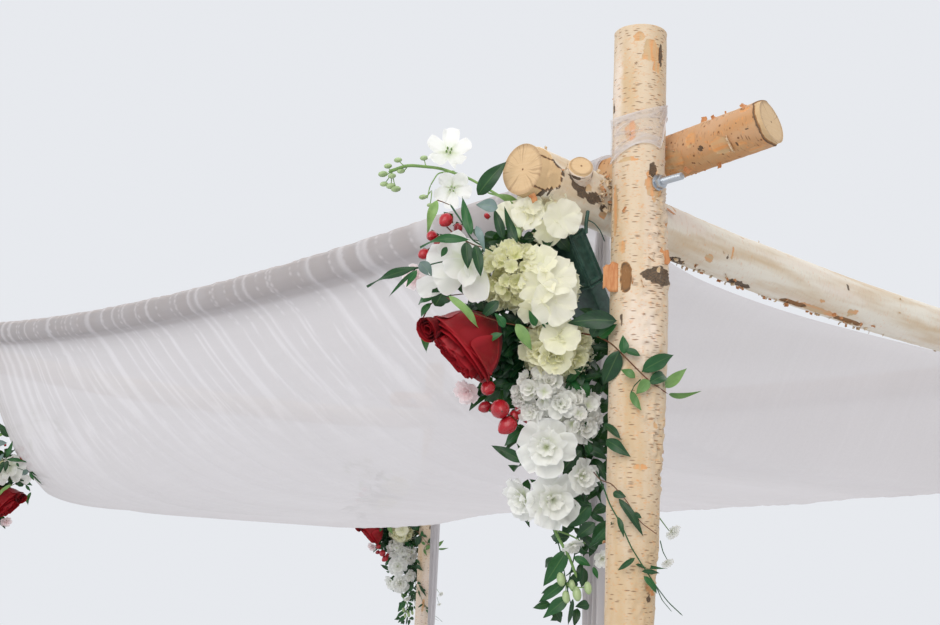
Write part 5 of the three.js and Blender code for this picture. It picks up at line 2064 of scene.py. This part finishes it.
# Stage

FLOOR_SIZE = 40
LIGHT_AIM = (0.6, -0.3, 1.9)


class MESH_OT_canopy_stage(bpy.types.Operator):
    """Add the plain floor, the soft light and the camera"""

    bl_idname = "mesh.canopy_stage"
    bl_label = "Stage"

    def execute(self, context):
        scene = context.scene
        deselect()
        bpy.ops.mesh.primitive_plane_add(size=FLOOR_SIZE, location=(0, 0, 0))
        floor = bpy.context.object
        floor.name = "floor"
        dress(floor, "floor")
        camera = add_camera(scene.canopy_sizes.lens)
        scene.camera = camera
        soft_light("key_light", (3.2, -3.6, 3.6), 3.0, 84, (1.0, 0.97, 0.93))
        soft_light("fill_light", (-3.5, -2.5, 3.2), 3.5, 40, (0.94, 0.97, 1.0))
        soft_light("top_light", (0.0, 1.0, 4.6), 4.0, 55, (0.97, 0.98, 1.0))
        world = bpy.data.worlds.new("pale_room")
        scene.world = world
        world.use_nodes = True
        background = world.node_tree.nodes["Background"]
        background.inputs["Color"].default_value = (0.86, 0.88, 0.92, 1)
        background.inputs["Strength"].default_value = 0.93
        scene.view_settings.view_transform = "Standard"
        scene.view_settings.look = "None"
        return {"FINISHED"}


# The camera, from the axis of the front right post, as a standing person would hold it
CAMERA_FROM_POST = (1.191, -1.2085)
CAMERA_HEIGHT = 1.6762
CAMERA_HEADING = math.radians(52.0)
CAMERA_TILT = math.radians(11.8)
CAMERA_ROLL = math.radians(2.44)


def camera_directions():
    """The camera's own right, up and forward in the frame."""
    forward = Vector((
        -math.sin(CAMERA_HEADING) * math.cos(CAMERA_TILT),
        math.cos(CAMERA_HEADING) * math.cos(CAMERA_TILT),
        math.sin(CAMERA_TILT),
    ))
    level = Vector((math.cos(CAMERA_HEADING), math.sin(CAMERA_HEADING), 0))
    upright = level.cross(forward)
    right = level * math.cos(CAMERA_ROLL) + upright * math.sin(CAMERA_ROLL)
    up = upright * math.cos(CAMERA_ROLL) - level * math.sin(CAMERA_ROLL)
    return right, up, forward


def camera_place():
    post = post_middle("front_right")
    return Vector((post.x + CAMERA_FROM_POST[0], post.y + CAMERA_FROM_POST[1], CAMERA_HEIGHT))


def add_camera(lens):
    deselect()
    bpy.ops.object.camera_add(location=camera_place())
    camera = bpy.context.object
    camera.name = "camera"
    camera.data.lens = lens
    camera.data.sensor_fit = "HORIZONTAL"
    camera.data.clip_end = 100
    right, up, forward = camera_directions()
    turned = Matrix((right, up, -forward)).transposed()
    camera.rotation_euler = turned.to_euler()
    return camera


def soft_light(name, place, size, power, colour):
    """A large square light that points at the corner."""
    bpy.ops.object.light_add(type="AREA", location=place)
    light = bpy.context.object
    light.name = name
    light.data.size = size
    light.data.energy = power
    light.data.color = colour
    aim = Vector(LIGHT_AIM) - Vector(place)
    light.rotation_euler = aim.to_track_quat("-Z", "Y").to_euler()
    return light


class MESH_OT_canopy_finishes(bpy.types.Operator):
    """Make the materials of the logs, cloth, bolts and flowers"""

    bl_idname = "mesh.canopy_finishes"
    bl_label = "Finishes"

    def execute(self, context):
        colours = context.scene.canopy_colours
        cream, pale = tuple(colours.bark_cream), tuple(colours.bark_pale)
        torn = ((0.43, 0.16, 0.055), (0.56, 0.27, 0.115))
        green = ((0.016, 0.052, 0.040), (0.034, 0.092, 0.070))
        orange = (0.50, 0.262, 0.112)
        foam = ((0.006, 0.024, 0.014), (0.020, 0.060, 0.034))
        made = {
            "bark": bark_paint("birch_bark", colours, cream, 1.0, 0.22, 0.72),
            "pale_bark": bark_paint("pale_birch_bark", colours, pale, 0.12, 0.0, 0.93),
            "flaky_bark": bark_paint("flaky_birch_bark", colours, orange, 0.9, 0.9, 0.46, 0.18, 0.9),
            "wood": wood_paint(colours),
            "torn": patchy_paint("torn_bark", torn, 0.3, 0.6, (220, 220, 60), 4, 0.6, (0.3, 0.7),
                                 (0.4, 0.5)),
            "scrap": scrap_paint(colours),
            "cloth": cloth_paint(colours),
            "zinc": zinc_paint(colours),
            "floor": floor_paint(colours),
            "cream": petal_paint("cream_petal", (0.56, 0.60, 0.20), (0.84, 0.83, 0.48), (0.94, 0.92, 0.82),
                                 (0.94, 0.93, 0.80), (0.95, 0.94, 0.74, 1), veins=0.22, glow_share=0.45),
            # Red petals: near black at the base, painted shade deep in the bloom; lighter at the rim,
            # painted highlight; the dark tint is painted shade
            "red": petal_paint("red_petal", (0.05, 0.001, 0.002), (0.27, 0.003, 0.008), (0.13, 0.001, 0.004),
                               (0.46, 0.02, 0.03), (0.40, 0.005, 0.01, 1), 0.45, 0.2),
            "white": petal_paint("white_petal", (0.60, 0.68, 0.40), (0.88, 0.88, 0.83), (0.86, 0.62, 0.64),
                                 (0.94, 0.94, 0.94), (0.95, 0.95, 0.92, 1), 0.5, 0.12, 0.48),
            "leaf": leaf_paint(),
            "berry": berry_paint(),
            "cage": patchy_paint("green_plastic", green, 0.5, 0.32, 120, 4, 0.5, (0.35, 0.7),
                                 (0.2, 0.4), 0.25),
            "foam": patchy_paint("wet_foam", foam, 0.15, 0.9, 900, 3, 0.7, (0.35, 0.65), (0.6, 0.8)),
        }
        context.scene["canopy_paints"] = {key: material.name for key, material in made.items()}
        return {"FINISHED"}


OPERATORS = (
    MESH_OT_canopy_finishes,
    MESH_OT_canopy_stage,
    MESH_OT_canopy_posts,
    MESH_OT_canopy_rails,
    MESH_OT_canopy_bolts,
    MESH_OT_canopy_cloth,
    MESH_OT_canopy_flowers,
)


class VIEW3D_PT_canopy(bpy.types.Panel):
    """Lists the canopy's pieces and their settings"""

    bl_label = "Birch canopy"
    bl_idname = "VIEW3D_PT_canopy"
    bl_space_type = "VIEW_3D"
    bl_region_type = "UI"
    bl_category = "Canopy"

    def draw(self, context):
        for operator in OPERATORS:
            self.layout.operator(operator.bl_idname, text=operator.bl_label)
        for group in (context.scene.canopy_sizes, context.scene.canopy_colours):
            for name in group.bl_rna.properties.keys():
                if name not in ("rna_type", "name"):
                    self.layout.prop(group, name)


CLASSES = (CanopySizes, CanopyColours, *OPERATORS, VIEW3D_PT_canopy)


def register():
    for item in CLASSES:
        bpy.utils.register_class(item)
    bpy.types.Scene.canopy_sizes = bpy.props.PointerProperty(type=CanopySizes)
    bpy.types.Scene.canopy_colours = bpy.props.PointerProperty(type=CanopyColours)


def unregister():
    del bpy.types.Scene.canopy_sizes
    del bpy.types.Scene.canopy_colours
    for item in reversed(CLASSES):
        bpy.utils.unregister_class(item)


def main():
    register()
    bpy.ops.mesh.canopy_finishes()
    bpy.ops.mesh.canopy_stage()
    bpy.ops.mesh.canopy_posts()
    bpy.ops.mesh.canopy_rails()
    bpy.ops.mesh.canopy_bolts()
    bpy.ops.mesh.canopy_cloth()
    bpy.ops.mesh.canopy_flowers()


if __name__ == "__main__":
    main()
